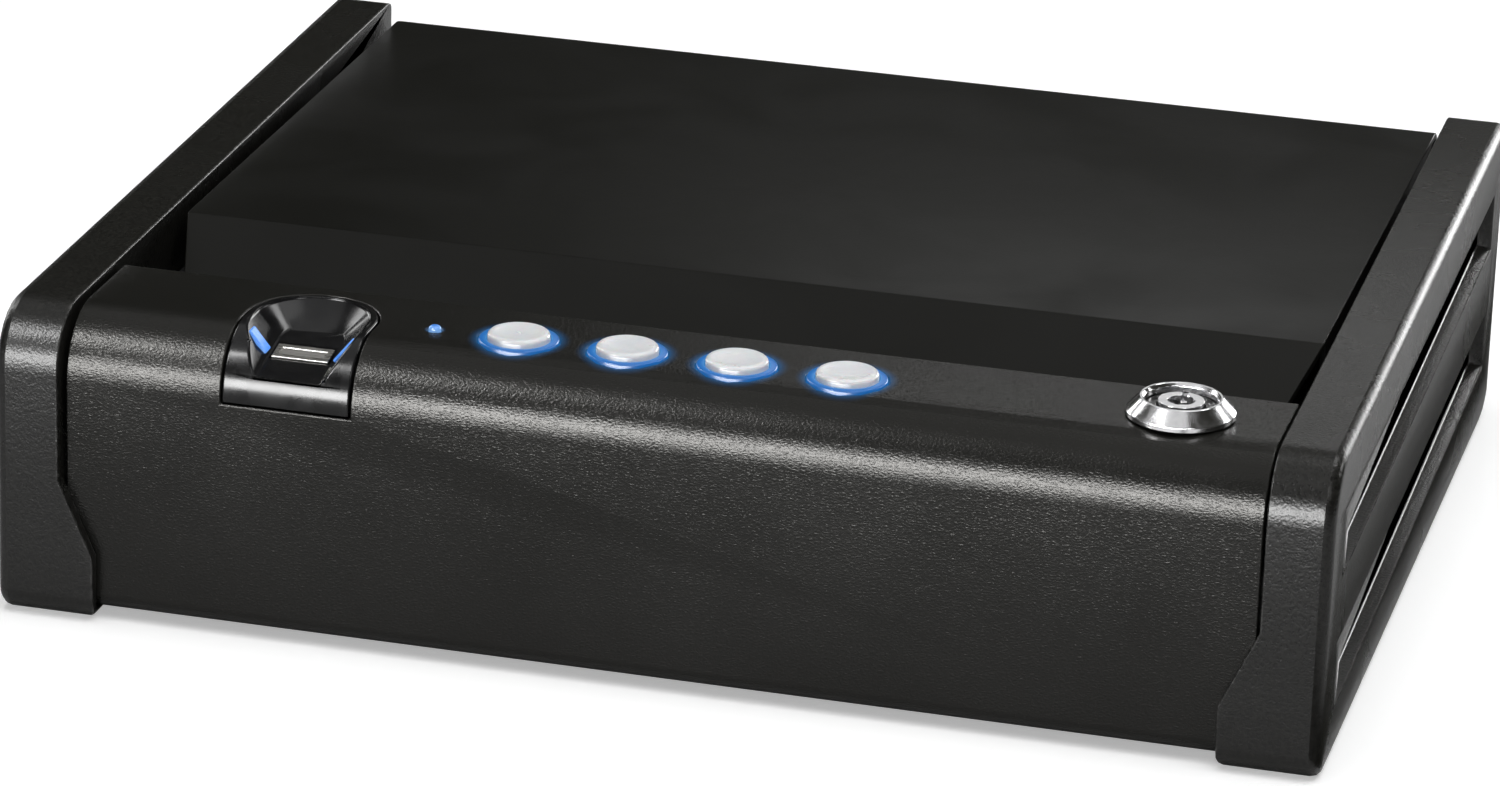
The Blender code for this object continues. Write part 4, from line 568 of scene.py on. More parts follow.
low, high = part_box("solenoid_plunger")
thick = (high.z - low.z) / 2
waist = thick * WAIST_SHARE
end = (high.x - low.x) / 2
rod = [(0.0, end), (thick, end), (thick, end - WAIST_STARTS), (waist, end - WAIST_STARTS - WAIST_BEVEL)]
rod += [(waist, end - WAIST_ENDS + WAIST_BEVEL), (thick, end - WAIST_ENDS), (thick, -end), (0.0, -end)]
rod = laid(turned(rod, 32), middle_of("solenoid_plunger"), (1.0, 0.0, 0.0))
plunger = made_piece("coil_plunger", rod, zinc_steel)
shown(eased(plunger, PLUNGER_EDGE, 40.0, 2), "latch", "chrome", "solenoid_plunger")


# Circuit board: 1.6 mm glass-epoxy laminate with green solder mask over copper tracks. Four tact switches stand
# under the keys, and the controller, memory, relay and lead socket hang below. It is melted on to the console's pins.
MASK_GREEN = (0.010, 0.110, 0.040, 1.0)
TRACK_GREEN = (0.030, 0.200, 0.070, 1.0)
CHIP_BLACK = (0.014, 0.014, 0.015, 1.0)
CHIP_DUSTY = (0.024, 0.024, 0.025, 1.0)
BOARD_EDGE = 0.00012
BOARD_TOP = 0.0566
LAMINATE = 0.0016
FACE_ROOM = 0.00005

solder_mask, tree, shader = new_finish("green solder mask", MASK_GREEN, 0.28)
sockets = {"Vector": own_place(tree), "Scale": 260.0, "Randomness": 0.55}
tracks = add_node(tree, "TexVoronoi", sockets, distance="MANHATTAN")
track = ranged(tree, tracks.outputs["Distance"], 0.30, 0.34)
coloured(shader, track, TRACK_GREEN, MASK_GREEN)
roughened(shader, use(tree, handling, Scale=80.0), 0.22, 0.38)
raised(shader, track, -0.00003)

chip_body, tree, shader = new_finish("chip mould compound", CHIP_BLACK, 0.55)
coloured(shader, use(tree, handling, Scale=240.0), CHIP_BLACK, CHIP_DUSTY)
raised(shader, use(tree, fine_grain, Scale=4000.0), 0.00002)

board = fabricated("key_board", "circuit_board", "base", "circuit_board", BOARD_EDGE, solder_mask, chip_body)
for face in board.data.polygons:
    if not BOARD_TOP - LAMINATE - FACE_ROOM < face.center.z < BOARD_TOP + FACE_ROOM:
        face.material_index = 1


# Front console: one black ABS moulding with a leather grain, bent over the front edge of the tray. It has openings
# for the reader, status light, keys and lock, and is screwed on from inside. The blue light that spills on to it by
# the keys is painted into its material as emission, and its edges carry a painted highlight as well as wear.
CONSOLE_EDGE = 0.00045
CONSOLE_BLACK = (0.0082, 0.0081, 0.0068, 1.0)
CONSOLE_CREASE = (0.008, 0.008, 0.0078, 1.0)
CONSOLE_RUBBED_AND_PAINTED_HIGHLIGHT = (0.110, 0.110, 0.105, 1.0)
CONSOLE_SHEEN = (1.0, 0.985, 0.955, 1.0)
PAINTED_GLOW_BLUE = (0.008, 0.20, 0.56, 1.0)
GRAIN_LENGTH = 1.7
KEY_RADIUS = 0.00665
HALO_START = 0.0084
HALO_REACH = 0.0030
HALO_HEIGHTS = (0.0660, 0.0672)
STATUS_RADIUS = 0.00135
STATUS_HALO_REACH = 0.0012
UNLIT = (0.0, 0.0, 0.0, 1.0)

# Leather grain: pebbles parted by fine creases, longer across the safe than from front to back
tree, taken, given = effect("leather grain", {"Scale": 900.0}, ("Height", "Crease"))
sockets = {"Vector": own_place(tree), "Scale": (1.0 / GRAIN_LENGTH, 1.0, 1.0)}
stretch = add_node(tree, "Mapping", sockets).outputs[0]
scale = taken.outputs["Scale"]
wander = add_node(tree, "TexNoise", {"Vector": stretch, "Scale": scale, "Detail": 2.0})
sockets = {0: wander.outputs["Color"], 1: (-0.5, -0.5, -0.5)}
pushed = add_node(tree, "VectorMath", sockets, operation="ADD").outputs[0]
sockets = {0: pushed, "Scale": reckon(tree, "DIVIDE", 0.9, scale)}
drift = add_node(tree, "VectorMath", sockets, operation="SCALE").outputs[0]
bent = add_node(tree, "VectorMath", {0: stretch, 1: drift}, operation="ADD").outputs[0]
distances = []
for pebble_scale in (scale, reckon(tree, "MULTIPLY", scale, 2.1)):
    sockets = {"Vector": bent, "Scale": pebble_scale}
    pebbles = add_node(tree, "TexVoronoi", sockets, feature="DISTANCE_TO_EDGE")
    distances.append(pebbles.outputs["Distance"])
pebble = ranged(tree, distances[0], 0.0, 0.42)
fine = ranged(tree, distances[1], 0.0, 0.40, 0.0, 0.30)
tree.links.new(reckon(tree, "ADD", pebble, fine), given.inputs["Height"])
tree.links.new(ranged(tree, distances[0], 0.10, 0.0), given.inputs["Crease"])
leather_grain = tree

# Halo: how near a point of the console's top lies to a lit opening, from its edge outwards
tree, taken, given = effect("halo", {"X": 0.0, "Y": 0.0, "Inner": 0.0085, "Reach": 0.003}, ("Mask",))
parts = add_node(tree, "SeparateXYZ", {0: own_place(tree)}).outputs
across = reckon(tree, "SUBTRACT", parts[0], taken.outputs["X"])
along = reckon(tree, "SUBTRACT", parts[1], taken.outputs["Y"])
square = reckon(tree, "ADD", reckon(tree, "MULTIPLY", across, across), reckon(tree, "MULTIPLY", along, along))
outside = reckon(tree, "SUBTRACT", reckon(tree, "POWER", square, 0.5), taken.outputs["Inner"])
fade = reckon(tree, "SUBTRACT", 1.0, reckon(tree, "DIVIDE", outside, taken.outputs["Reach"]))
near = reckon(tree, "POWER", ranged(tree, fade, 0.0, 1.0), 2.2)
tree.links.new(reckon(tree, "MULTIPLY", near, ranged(tree, parts[2], *HALO_HEIGHTS)), given.inputs["Mask"])
halo = tree


def light_round(tree, node, inner, reach):
    """The halo mask of a lit node."""
    centre = middle_of(node)
    return use(tree, halo, X=centre.x, Y=centre.y, Inner=inner, Reach=reach)


levels = {"Specular_IOR_Level": 0.22, "Specular_Tint": CONSOLE_SHEEN, "Emission_Strength": 0.42}
console_plastic, tree, shader = new_finish("leather grained plastic", CONSOLE_BLACK, 0.28, **levels)
leather = use(tree, leather_grain, Scale=1500.0)
creased = reckon(tree, "MULTIPLY", leather.node.outputs["Crease"], 0.6)
# Rubbed edges: partly real wear, partly a painted highlight line, lightened past what wear alone gives
rubbed_and_painted_highlight = reckon(tree, "MULTIPLY", use(tree, worn_and_painted_highlight_edges, Reach=0.0006, Patch_Scale=450.0), 0.60)
coloured(shader, rubbed_and_painted_highlight, blended(tree, creased, CONSOLE_BLACK, CONSOLE_CREASE), CONSOLE_RUBBED_AND_PAINTED_HIGHLIGHT)
roughened(shader, use(tree, handling, Scale=18.0), 0.22, 0.27)
raised(shader, leather, 0.000026)
# Painted light: a faint blue emission in the console's own material round each key and the status light stands in for
# the rings' light falling on it
painted_glow, *spills = [light_round(tree, f"button_{number}", HALO_START, HALO_REACH) for number in range(1, 5)]
for spill in (*spills, light_round(tree, "status_lens", STATUS_RADIUS, STATUS_HALO_REACH)):
    painted_glow = reckon(tree, "ADD", painted_glow, spill)
coloured(shader, painted_glow, UNLIT, PAINTED_GLOW_BLUE, "Emission Color")

fabricated("console_moulding", "front_console", "base", "console_plastic", CONSOLE_EDGE, console_plastic)


# Fingerprint reader: a piano-black acrylic plug that carries on the console's curve, with a finger scoop that opens
# to the front. It is polished, so only dust and faint finger marks break the gloss.
READER_EDGE = 0.00045
READER_HALF = 0.0139
READER_FRONT_RADIUS = 0.0140
SCOOP_RIM_HALF = 0.0123
SCOOP_BED_HALF = 0.0071
SCOOP_SLOPE = 0.2075
SCOOP_SIDES = 64
SCOOP_FLOOR = 0.0590
SCOOP_RIM = 0.0677
BEYOND = 0.002
NEAR = 0.0001
SEAT_SIZE = (0.0130, 0.0058, 0.0060)
SEAT_RISE = 0.0017
PIANO_BLACK = (0.006, 0.006, 0.0065, 1.0)
PIANO_MARKED = (0.010, 0.010, 0.0105, 1.0)

piano_black, tree, shader = patchy(
    "piano black acrylic", PIANO_BLACK, PIANO_MARKED, 0.16, 0.23, 150.0, Specular_IOR_Level=0.27
)
raised(shader, use(tree, handling, Scale=60.0), 0.00002)


def round_ended(centre_x, centre_y, half, height, front_y):
    """An outline at one height: straight sides that run back from the front, and a round back end."""
    bm = bmesh.new()
    start = bm.verts.new((centre_x + half, centre_y, height))
    half_turn = {"cent": (centre_x, centre_y, height), "axis": (0.0, 0.0, 1.0), "angle": math.pi}
    arc = bmesh.ops.spin(bm, geom=[start], steps=SCOOP_SIDES, **half_turn)
    last = next(item for item in arc["geom_last"] if isinstance(item, bmesh.types.BMVert))
    ends = bmesh.ops.extrude_vert_indiv(bm, verts=[start, last])["verts"]
    bmesh.ops.translate(bm, verts=ends, vec=(0.0, front_y - centre_y, 0.0))
    bm.edges.new(ends)
    return bm


def filled(bm):
    """Closes every open outline of a form with a face, and turns its faces outwards."""
    bmesh.ops.holes_fill(bm, edges=bm.edges, sides=0)
    bmesh.ops.recalc_face_normals(bm, faces=bm.faces)
    return bm


def lifted(bm, edges, rise):
    """Draws a form's edges straight up into walls."""
    walls = bmesh.ops.extrude_edge_only(bm, edges=edges)["geom"]
    tops = [item for item in walls if isinstance(item, bmesh.types.BMVert)]
    bmesh.ops.translate(bm, verts=tops, vec=(0.0, 0.0, rise))
    return bm


low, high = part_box("reader_insert")
reader_x = (low.x + high.x) / 2
arc_y = high.y - READER_HALF
ahead = low.y - BEYOND
plug_size = (2 * READER_HALF, high.y - low.y + READER_HALF, high.z - low.z)
plug_form = block(plug_size, (reader_x, (high.y + low.y + READER_HALF) / 2, (high.z + low.z) / 2))
nose = [
    edge
    for edge in plug_form.edges
    if all(vert.co.y < low.y + NEAR and vert.co.z > high.z - NEAR for vert in edge.verts)
]
rounding = {"offset": READER_FRONT_RADIUS, "segments": 40, "profile": 0.5, "affect": "EDGES", "material": -1}
bmesh.ops.bevel(plug_form, geom=nose, **rounding)
reader = made_piece("reader_plug", plug_form, piano_black)

plan = round_ended(reader_x, arc_y, READER_HALF, low.z - BEYOND, ahead)
lifted(plan, plan.edges, high.z - low.z + 2 * BEYOND)
carved(reader, made_piece("reader outline", filled(plan)), "INTERSECT")

bed = round_ended(reader_x, arc_y + 0.006 - SCOOP_BED_HALF, SCOOP_BED_HALF, 0.0, ahead)
slope = Matrix.Identity(4)
slope[2][1] = SCOOP_SLOPE
bed_front = low.y + NEAR
lowered = Matrix.Translation((0.0, bed_front, SCOOP_FLOOR)) @ slope @ Matrix.Translation((0.0, -bed_front, 0.0))
bmesh.ops.transform(bed, matrix=lowered, verts=bed.verts)
rim = round_ended(reader_x, arc_y, SCOOP_RIM_HALF, SCOOP_RIM, ahead)
upper = bpy.data.meshes.new("scoop rim")
rim.to_mesh(upper)
rim.free()
bed.from_mesh(upper)
bmesh.ops.bridge_loops(bed, edges=bed.edges[:])
lifted(bed, [edge for edge in bed.edges if all(vert.co.z > SCOOP_RIM - NEAR for vert in edge.verts)], 2 * BEYOND)
carved(reader, made_piece("scoop", filled(bed)))

SENSOR_TURN = Matrix.Rotation(math.atan(SCOOP_SLOPE), 4, "X")
sensor_middle = middle_of("fingerprint_sensor")
seat = block(SEAT_SIZE)
seat_place = Matrix.Translation(sensor_middle + Vector((0.0, 0.0, SEAT_RISE))) @ SENSOR_TURN
bmesh.ops.transform(seat, matrix=seat_place, verts=seat.verts)
carved(reader, made_piece("sensor seat", seat))
shown(eased(reader, READER_EDGE, 30.0, 3), "base", "gloss_plastic", "reader_insert")


# Swipe sensor: a narrow strip of sensing silicon between two bright drive rails, set across the scoop's bed.
# Finger swipes keep the rails polished.
SENSOR_HALF = 0.0062
SENSOR_LENGTH = 0.0052
SENSOR_THICK = 0.0024
SENSOR_EDGE = 0.00010
RAIL_WIDTH = 0.00125
STRIP_SINK = 0.00018
STRIP_LIP = 0.00012
RAIL_METAL = (0.62, 0.61, 0.58, 1.0)
RAIL_DULL = (0.46, 0.45, 0.43, 1.0)
STRIP_GREY = (0.16, 0.155, 0.145, 1.0)
STRIP_PALE = (0.26, 0.25, 0.235, 1.0)

rail_metal, tree, shader = new_finish("sensor rail", RAIL_METAL, 0.24, 1.0)
streak = use(tree, long_streaks, Scale=2400.0, Length=16.0)
coloured(shader, streak, RAIL_METAL, RAIL_DULL)
roughened(shader, streak, 0.18, 0.36)
raised(shader, streak, 0.000004)

sensing_strip, tree, shader = new_finish("sensing strip", STRIP_GREY, 0.40, 0.2)
streak = use(tree, long_streaks, Scale=3000.0, Length=30.0)
coloured(shader, streak, STRIP_GREY, STRIP_PALE)
roughened(shader, streak, 0.22, 0.40)

bar = block((2 * SENSOR_HALF, SENSOR_LENGTH, SENSOR_THICK))
bar.faces.ensure_lookup_table()
top = max(bar.faces, key=lambda face: face.calc_center_median().z)
bmesh.ops.inset_region(bar, faces=[top], thickness=RAIL_WIDTH, use_even_offset=True)
bmesh.ops.inset_region(bar, faces=[top], thickness=STRIP_LIP, depth=-STRIP_SINK, use_even_offset=True)
top.material_index = 1
bmesh.ops.transform(bar, matrix=Matrix.Translation(sensor_middle) @ SENSOR_TURN, verts=bar.verts)
sensor = made_piece("swipe_sensor", bar, rail_metal, sensing_strip)
shown(eased(sensor, SENSOR_EDGE, 30.0, 2), "base", "sensor_metal", "fingerprint_sensor")


# Lit parts of the console: two light guides in the scoop's walls and the status light, clear acrylic with blue
# light-emitting diodes behind them. They are brightest in the middle, and pale where the light comes straight out.
GUIDE_BODY = (0.03, 0.14, 0.60, 1.0)
GUIDE_BLUE = (0.10, 0.33, 0.95, 1.0)
GUIDE_PALE = (0.30, 0.58, 1.0, 1.0)
STATUS_BODY = (0.03, 0.14, 0.50, 1.0)
STATUS_DEEP = (0.06, 0.19, 0.50, 1.0)
GUIDE_EDGE = 0.00035
STATUS_DOME = 0.0009
STATUS_DEEP_SHARE = 0.35

levels = {"Specular_IOR_Level": 0.12, "Emission_Strength": 0.55}
guide_light, tree, shader = new_finish("lit light guide", GUIDE_BODY, 0.22, **levels)
uneven = use(tree, handling, Scale=420.0)
coloured(shader, uneven, GUIDE_BLUE, GUIDE_PALE, "Emission Color")
roughened(shader, uneven, 0.18, 0.30)

# The status light is brightest round its rim, where the pipe's wall leads the light up
status_light, tree, shader = new_finish("lit status lens", STATUS_BODY, 0.20, Emission_Strength=0.50)
deep_radius = STATUS_RADIUS * STATUS_DEEP_SHARE
deeper = light_round(tree, "status_lens", deep_radius, STATUS_RADIUS - deep_radius)
coloured(shader, deeper, GUIDE_PALE, STATUS_DEEP, "Emission Color")

for side in ("left", "right"):
    node = f"reader_light_guide_{side}"
    fabricated(f"{side}_guide", node, "base", "blue_light_guide", GUIDE_EDGE, guide_light)

low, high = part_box("status_lens")
dome = [
    (STATUS_RADIUS * math.sin(turn), high.z - STATUS_DOME * (1.0 - math.cos(turn)))
    for turn in (math.radians(9.0 * step) for step in range(1, 11))
]
pipe = turned([(0.0, high.z), *dome, (STATUS_RADIUS, low.z), (0.0, low.z)], 48)
lens_place = ((low.x + high.x) / 2, (low.y + high.y) / 2, 0.0)
lens = made_piece("status_light", laid(pipe, lens_place), status_light)
shown(eased(lens, 0.0, 60.0), "base", "blue_light_guide", "status_lens")


# Keys: four pearl white caps with a shallow dish, moulded in a slightly translucent plastic. Each slides in a clear
# ring that blue light-emitting diodes light from behind. The first key has a raised dot to find it by touch.
KEY_RISE = 0.0019
KEY_SKIRT = 0.0042
STEM_RADIUS = 0.0020
KEY_STEM = 0.0058
DISH_RADII = (0.0, 0.0022, 0.0040, 0.0049, 0.0054, 0.0058, 0.0062, 0.0065, KEY_RADIUS)
DISH_DROPS = (0.00034, 0.00032, 0.00024, 0.00010, 0.00001, 0.00003, 0.00018, 0.00046, 0.0009)
DOT_RADIUS = 0.0006
DOT_SINK = 0.00052
DOT_SQUASH = 0.85
RING_RADIUS = 0.0085
RING_BORE = 0.00695
RING_RISE = 0.0004
RING_DROP = 0.0045
RING_EDGE = 0.00006
RING_FADE = 0.0016
PEARL = (0.78, 0.79, 0.80, 1.0)
PEARL_SHADE = (0.66, 0.675, 0.70, 1.0)
RING_BODY = (0.01, 0.07, 0.25, 1.0)
RING_DEEP = (0.004, 0.14, 0.44, 1.0)
RING_BRIGHT = (0.10, 0.40, 0.74, 1.0)

levels = {"Subsurface_Weight": 0.15, "Subsurface_Scale": 0.002}
pearl_plastic, tree, shader = patchy("pearl plastic", PEARL, PEARL_SHADE, 0.25, 0.38, 120.0, **levels)
raised(shader, use(tree, fine_grain, Scale=1800.0), 0.00001)

key_profile = [(radius, KEY_RISE - drop) for radius, drop in zip(DISH_RADII, DISH_DROPS)]
key_profile += [(KEY_RADIUS, -KEY_SKIRT), (STEM_RADIUS, -KEY_SKIRT), (STEM_RADIUS, -KEY_STEM), (0.0, -KEY_STEM)]
ring_profile = [(RING_RADIUS - RING_RISE, RING_RISE), (RING_RADIUS - RING_RISE * 0.3, RING_RISE * 0.75)]
ring_profile += [(RING_RADIUS, 0.0), (RING_RADIUS, -RING_DROP), (RING_BORE, -RING_DROP), (RING_BORE, RING_RISE)]

for number in range(1, 5):
    node = f"button_{number}"
    ring_node = f"key_light_ring_{number}"
    place = middle_of(ring_node)
    place.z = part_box("front_console")[1].z
    key_form = turned(key_profile, 96)
    if number == 1:
        dot = Matrix.Translation((0.0, 0.0, KEY_RISE - DOT_SINK)) @ Matrix.Diagonal((1.0, 1.0, DOT_SQUASH, 1.0))
        bmesh.ops.create_uvsphere(key_form, u_segments=24, v_segments=12, radius=DOT_RADIUS, matrix=dot)
    key = made_piece(f"key_cap_{number}", laid(key_form, place), pearl_plastic)
    shown(eased(key, 0.0, 50.0), node, "pearl_plastic", node)

    # The ring's glow follows its own centre: palest at the bore, where the light comes up past the key
    lit_ring, tree, shader = new_finish(f"lit ring {number}", RING_BODY, 0.30, Emission_Strength=0.56)
    pale = light_round(tree, ring_node, KEY_RADIUS, RING_FADE)
    coloured(shader, pale, RING_DEEP, RING_BRIGHT, "Emission Color")
    ring = made_piece(f"lit_ring_{number}", laid(turned(ring_profile, 96, closed=True), place), lit_ring)
    shown(eased(ring, RING_EDGE, 50.0, 2), "base", "blue_light_guide", ring_node)


# Key lock: a tubular cam lock. A chrome bezel with a turned cone stands on the console, the barrel's black face lies
# down inside it, and the bright ring of the plug stands up in the middle with its notch at the back.
BEZEL_RADIUS = 0.0114
BEZEL_BAND = 0.0010
BEZEL_RIM_RADIUS = 0.00865
BEZEL_MOUTH_RADIUS = 0.0081
BEZEL_BORE = 0.0075
BEZEL_RISE = 0.0039
BEZEL_LIP = 0.0006
BEZEL_EDGE = 0.00014
BARREL_RADIUS = 0.0080
BARREL_HEAD_RADIUS = 0.0072
BARREL_FACE = 0.0020
BARREL_EDGE = 0.00015
PLUG_RADIUS = 0.00485
PLUG_CORE_RADIUS = 0.0028
PLUG_RISE = 0.0031
PLUG_CORE = 0.0005
POST_RADIUS = 0.0015
NOTCH_HALF = 0.0006
NOTCH_DEPTH = 0.0016
PLUG_GAP = 0.0003
PLUG_EDGE = 0.00012
NUT_EDGE = 0.00025
POST_RISE = 0.0014
POST_SHOULDER = 0.0010
CHROME = (0.80, 0.80, 0.81, 1.0)
CHROME_HAZE = (0.68, 0.68, 0.70, 1.0)
LOCK_BLACK = (0.008, 0.008, 0.008, 1.0)
LOCK_DUSTY = (0.022, 0.022, 0.022, 1.0)

chrome = patchy("chrome plate", CHROME, CHROME_HAZE, 0.12, 0.24, 300.0, 1.0)[0]
lock_black = patchy("black lock face", LOCK_BLACK, LOCK_DUSTY, 0.20, 0.38, 400.0)[0]

lock_foot = middle_of("lock_bezel")
lock_foot.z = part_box("lock_bezel")[0].z
profile = [(BEZEL_RIM_RADIUS, BEZEL_RISE), (BEZEL_RADIUS, BEZEL_BAND), (BEZEL_RADIUS, 0.0), (BEZEL_BORE, 0.0)]
profile += [(BEZEL_BORE, BEZEL_RISE - BEZEL_LIP), (BEZEL_MOUTH_RADIUS, BEZEL_RISE)]
bezel = made_piece("chrome_bezel", laid(turned(profile, 128, closed=True), lock_foot), chrome)
shown(eased(bezel, BEZEL_EDGE, 20.0, 3), "base", "chrome", "lock_bezel")

barrel_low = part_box("lock_barrel")[0].z - lock_foot.z
barrel_bore = PLUG_RADIUS + PLUG_GAP
profile = [(BARREL_HEAD_RADIUS, BARREL_FACE), (BARREL_HEAD_RADIUS, -PLUG_GAP), (BARREL_RADIUS, -PLUG_GAP)]
profile += [(BARREL_RADIUS, barrel_low), (barrel_bore, barrel_low), (barrel_bore, BARREL_FACE)]
barrel = made_piece("lock_body", laid(turned(profile, 96, closed=True), lock_foot), lock_black)
shown(eased(barrel, BARREL_EDGE), "base", "lock_black", "lock_barrel")

plug_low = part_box("key_plug")[0].z - lock_foot.z
post_top = PLUG_CORE + POST_RISE
profile = [(0.0, post_top), (POST_RADIUS * 0.7, post_top), (POST_RADIUS, PLUG_CORE + POST_SHOULDER)]
profile += [(POST_RADIUS, PLUG_CORE), (PLUG_CORE_RADIUS, PLUG_CORE), (PLUG_CORE_RADIUS, PLUG_RISE)]
profile += [(PLUG_RADIUS, PLUG_RISE), (PLUG_RADIUS, plug_low), (0.0, plug_low)]
plug = made_piece("tubular_plug", laid(turned(profile, 96), lock_foot), chrome, lock_black)
notch_size = (2 * NOTCH_HALF, PLUG_RADIUS - PLUG_CORE_RADIUS + 2 * NOTCH_HALF, 2 * NOTCH_DEPTH)
notch = block(notch_size, lock_foot + Vector((0.0, (PLUG_RADIUS + PLUG_CORE_RADIUS) / 2, PLUG_RISE)))
carved(plug, made_piece("plug notch", notch))
for face in plug.data.polygons:
    off = math.hypot(face.center.x - lock_foot.x, face.center.y - lock_foot.y)
    if off < PLUG_CORE_RADIUS - NEAR and face.center.z > lock_foot.z:
        face.material_index = 1
shown(eased(plug, PLUG_EDGE, 33.0, 2), "lock_plug", "chrome", "key_plug")
fabricated("barrel_nut", "lock_nut", "base", "zinc_steel", NUT_EDGE, zinc_steel)
fabricated("plug_cam", "lock_cam", "lock_plug", "zinc_steel", BLANKED_EDGE, zinc_steel)


# Piano hinge: two rolled steel leaves with alternate knuckles on one drawn pin. One leaf is riveted to the tray's
# back wall, and the other to the lid's flange.
LEAF_EDGE = 0.00012
ROD_EDGE = 0.00020

fabricated("tray_hinge_leaf", "hinge_base_leaf", "base", "zinc_steel", LEAF_EDGE, zinc_steel)
fabricated("lid_hinge_leaf", "hinge_lid_leaf", "lid", "zinc_steel", LEAF_EDGE, zinc_steel)
fabricated("hinge_rod", "hinge_pin", "base", "zinc_steel", ROD_EDGE, zinc_steel)


# Lid: one folded steel sheet with a ramp down to the finger gutter, skirts at its sides and a flange at the back.
# It is sprayed with a satin black paint that is finer and glossier than the tray's powder coat.
LID_EDGE = 0.00030
LID_BLACK = (0.0060, 0.0060, 0.0050, 1.0)
LID_WORN = (0.09, 0.09, 0.092, 1.0)

lid_paint = coated_steel("satin lid paint", LID_BLACK, 0.36, 900.0, 0.000008, LID_WORN, Specular_IOR_Level=0.10)
fabricated("lid_sheet", "lid_panel", "lid", "lid_paint", LID_EDGE, lid_paint)
for side in ("left", "right"):
    fabricated(f"{side}_striker", f"striker_{side}", "lid", "zinc_steel", BLANKED_EDGE, zinc_steel)


# Foam pads: charcoal open-cell polyurethane, die cut and glued to the floor and under the lid. The cut sides pull in
# a little, the corners are soft, and the open cells show all over.
FOAM_GREY = (0.040, 0.040, 0.042, 1.0)
FOAM_PALE = (0.085, 0.085, 0.088, 1.0)
FOAM_SOFT = 0.0011
FOAM_CROWN = 0.0007
FOAM_RIPPLE = 0.00012
FOAM_PULL = 0.0006
LONG_EDGE = 0.02

foam, tree, shader = new_finish("charcoal foam", FOAM_GREY, 0.92, Sheen_Weight=0.25)
sockets = {"Vector": own_place(tree), "Scale": 1100.0}
cells = add_node(tree, "TexVoronoi", sockets, feature="DISTANCE_TO_EDGE")
strut = ranged(tree, cells.outputs["Distance"], 0.20, 0.02)
cloudy = ranged(tree, use(tree, handling, Scale=45.0), 0.0, 1.0, 0.6, 1.0)
coloured(shader, reckon(tree, "MULTIPLY", strut, cloudy), FOAM_GREY, FOAM_PALE)
roughened(shader, strut, 0.98, 0.84)
raised(shader, strut, 0.00025)


def foam_pad(name, node, body):
    """A foam sheet with soft corners, a slight crown and cut sides that pull in."""
    low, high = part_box(node)
    size = high - low
    centre = (low + high) / 2
    bm = block(size, centre)
    bmesh.ops.bevel(bm, geom=bm.edges[:], offset=FOAM_SOFT, segments=3, profile=0.5, affect="EDGES", material=-1)
    long_edges = [edge for edge in bm.edges if edge.calc_length() > LONG_EDGE]
    bmesh.ops.subdivide_edges(bm, edges=long_edges, cuts=27, use_grid_fill=True)
    for vert in bm.verts:
        across = (vert.co.x - centre.x) / (size.x / 2)
        along = (vert.co.y - centre.y) / (size.y / 2)
        level = abs(vert.co.z - centre.z) / (size.z / 2)
        crown = (1 - across**2) * (1 - along**2)
        if level > 0.9:
            swell = FOAM_CROWN * (1.0 - crown)
            ripple = FOAM_RIPPLE * math.sin(vert.co.x * 170.0) * math.sin(vert.co.y * 210.0 + 1.0)
            vert.co.z -= math.copysign(max(0.0, swell + ripple), vert.co.z - centre.z)
        pull = FOAM_PULL * (1 - level**2)
        if abs(across) > 0.98:
            vert.co.x -= math.copysign(pull, across)
        if abs(along) > 0.98:
            vert.co.y -= math.copysign(pull, along)
    piece = made_piece(name, bm, foam)
    finer = piece.modifiers.new("finer", "SUBSURF")
    finer.levels = finer.render_levels = 1
    shown(eased(piece, 0.0, 80.0), body, "foam", node)
    return piece


foam_pad("floor_foam", "foam_floor_pad", "base")
foam_pad("lid_foam", "foam_lid_pad", "lid")


# Studio: a white paper floor, a soft fill for the paper and the forms, and panels that only the sheen shows. The low
# front panel draws the long highlight on the console. Grey cards round the safe keep the rest of the sheen dark.
FLOOR_SIZE = 60.0
TENT_RADIUS = 4.0
TENT_START = 0.12
TENT_GREY = (0.024, 0.024, 0.020, 1.0)
FLAG_REACH = (0.145, 0.176)
FLAG_LENGTH = 1.0
FLAG_HEIGHT = 0.001
PAPER = (0.82, 0.82, 0.82, 1.0)
PLAIN_ROOM = (0.15, 0.15, 0.15, 1.0)
WHITE = (1.0, 1.0, 1.0, 1.0)


def seen_directly(tree):
    """One for what the camera sees, straight or through a clear piece, and nothing for light on other surfaces."""
    ray = add_node(tree, "LightPath")
    seen = reckon(tree, "ADD", ray.outputs["Is Camera Ray"], ray.outputs["Is Transmission Ray"])
    return ranged(tree, seen, 0.0, 1.0)


paper, tree, shader = new_finish("white paper", PAPER, 0.9, Specular_IOR_Level=0.0, Emission_Strength=0.40)
coloured(shader, seen_directly(tree), UNLIT, WHITE, "Emission Color")
ground = bmesh.new()
bmesh.ops.create_grid(ground, x_segments=8, y_segments=8, size=FLOOR_SIZE / 2)
made_piece("paper_floor", ground, paper)

levels = {"Specular_IOR_Level": 0.0, "Emission_Color": TENT_GREY, "Emission_Strength": 1.0}
grey_card = new_finish("grey card", UNLIT, 1.0, **levels)[0]
cards = bmesh.new()
bmesh.ops.create_uvsphere(cards, u_segments=48, v_segments=24, radius=TENT_RADIUS)
everything = cards.verts[:] + cards.edges[:] + cards.faces[:]
cut = {"plane_co": (0.0, 0.0, TENT_START), "plane_no": (0.0, 0.0, 1.0), "clear_inner": True}
bmesh.ops.bisect_plane(cards, geom=everything, **cut)
bmesh.ops.reverse_faces(cards, faces=cards.faces)

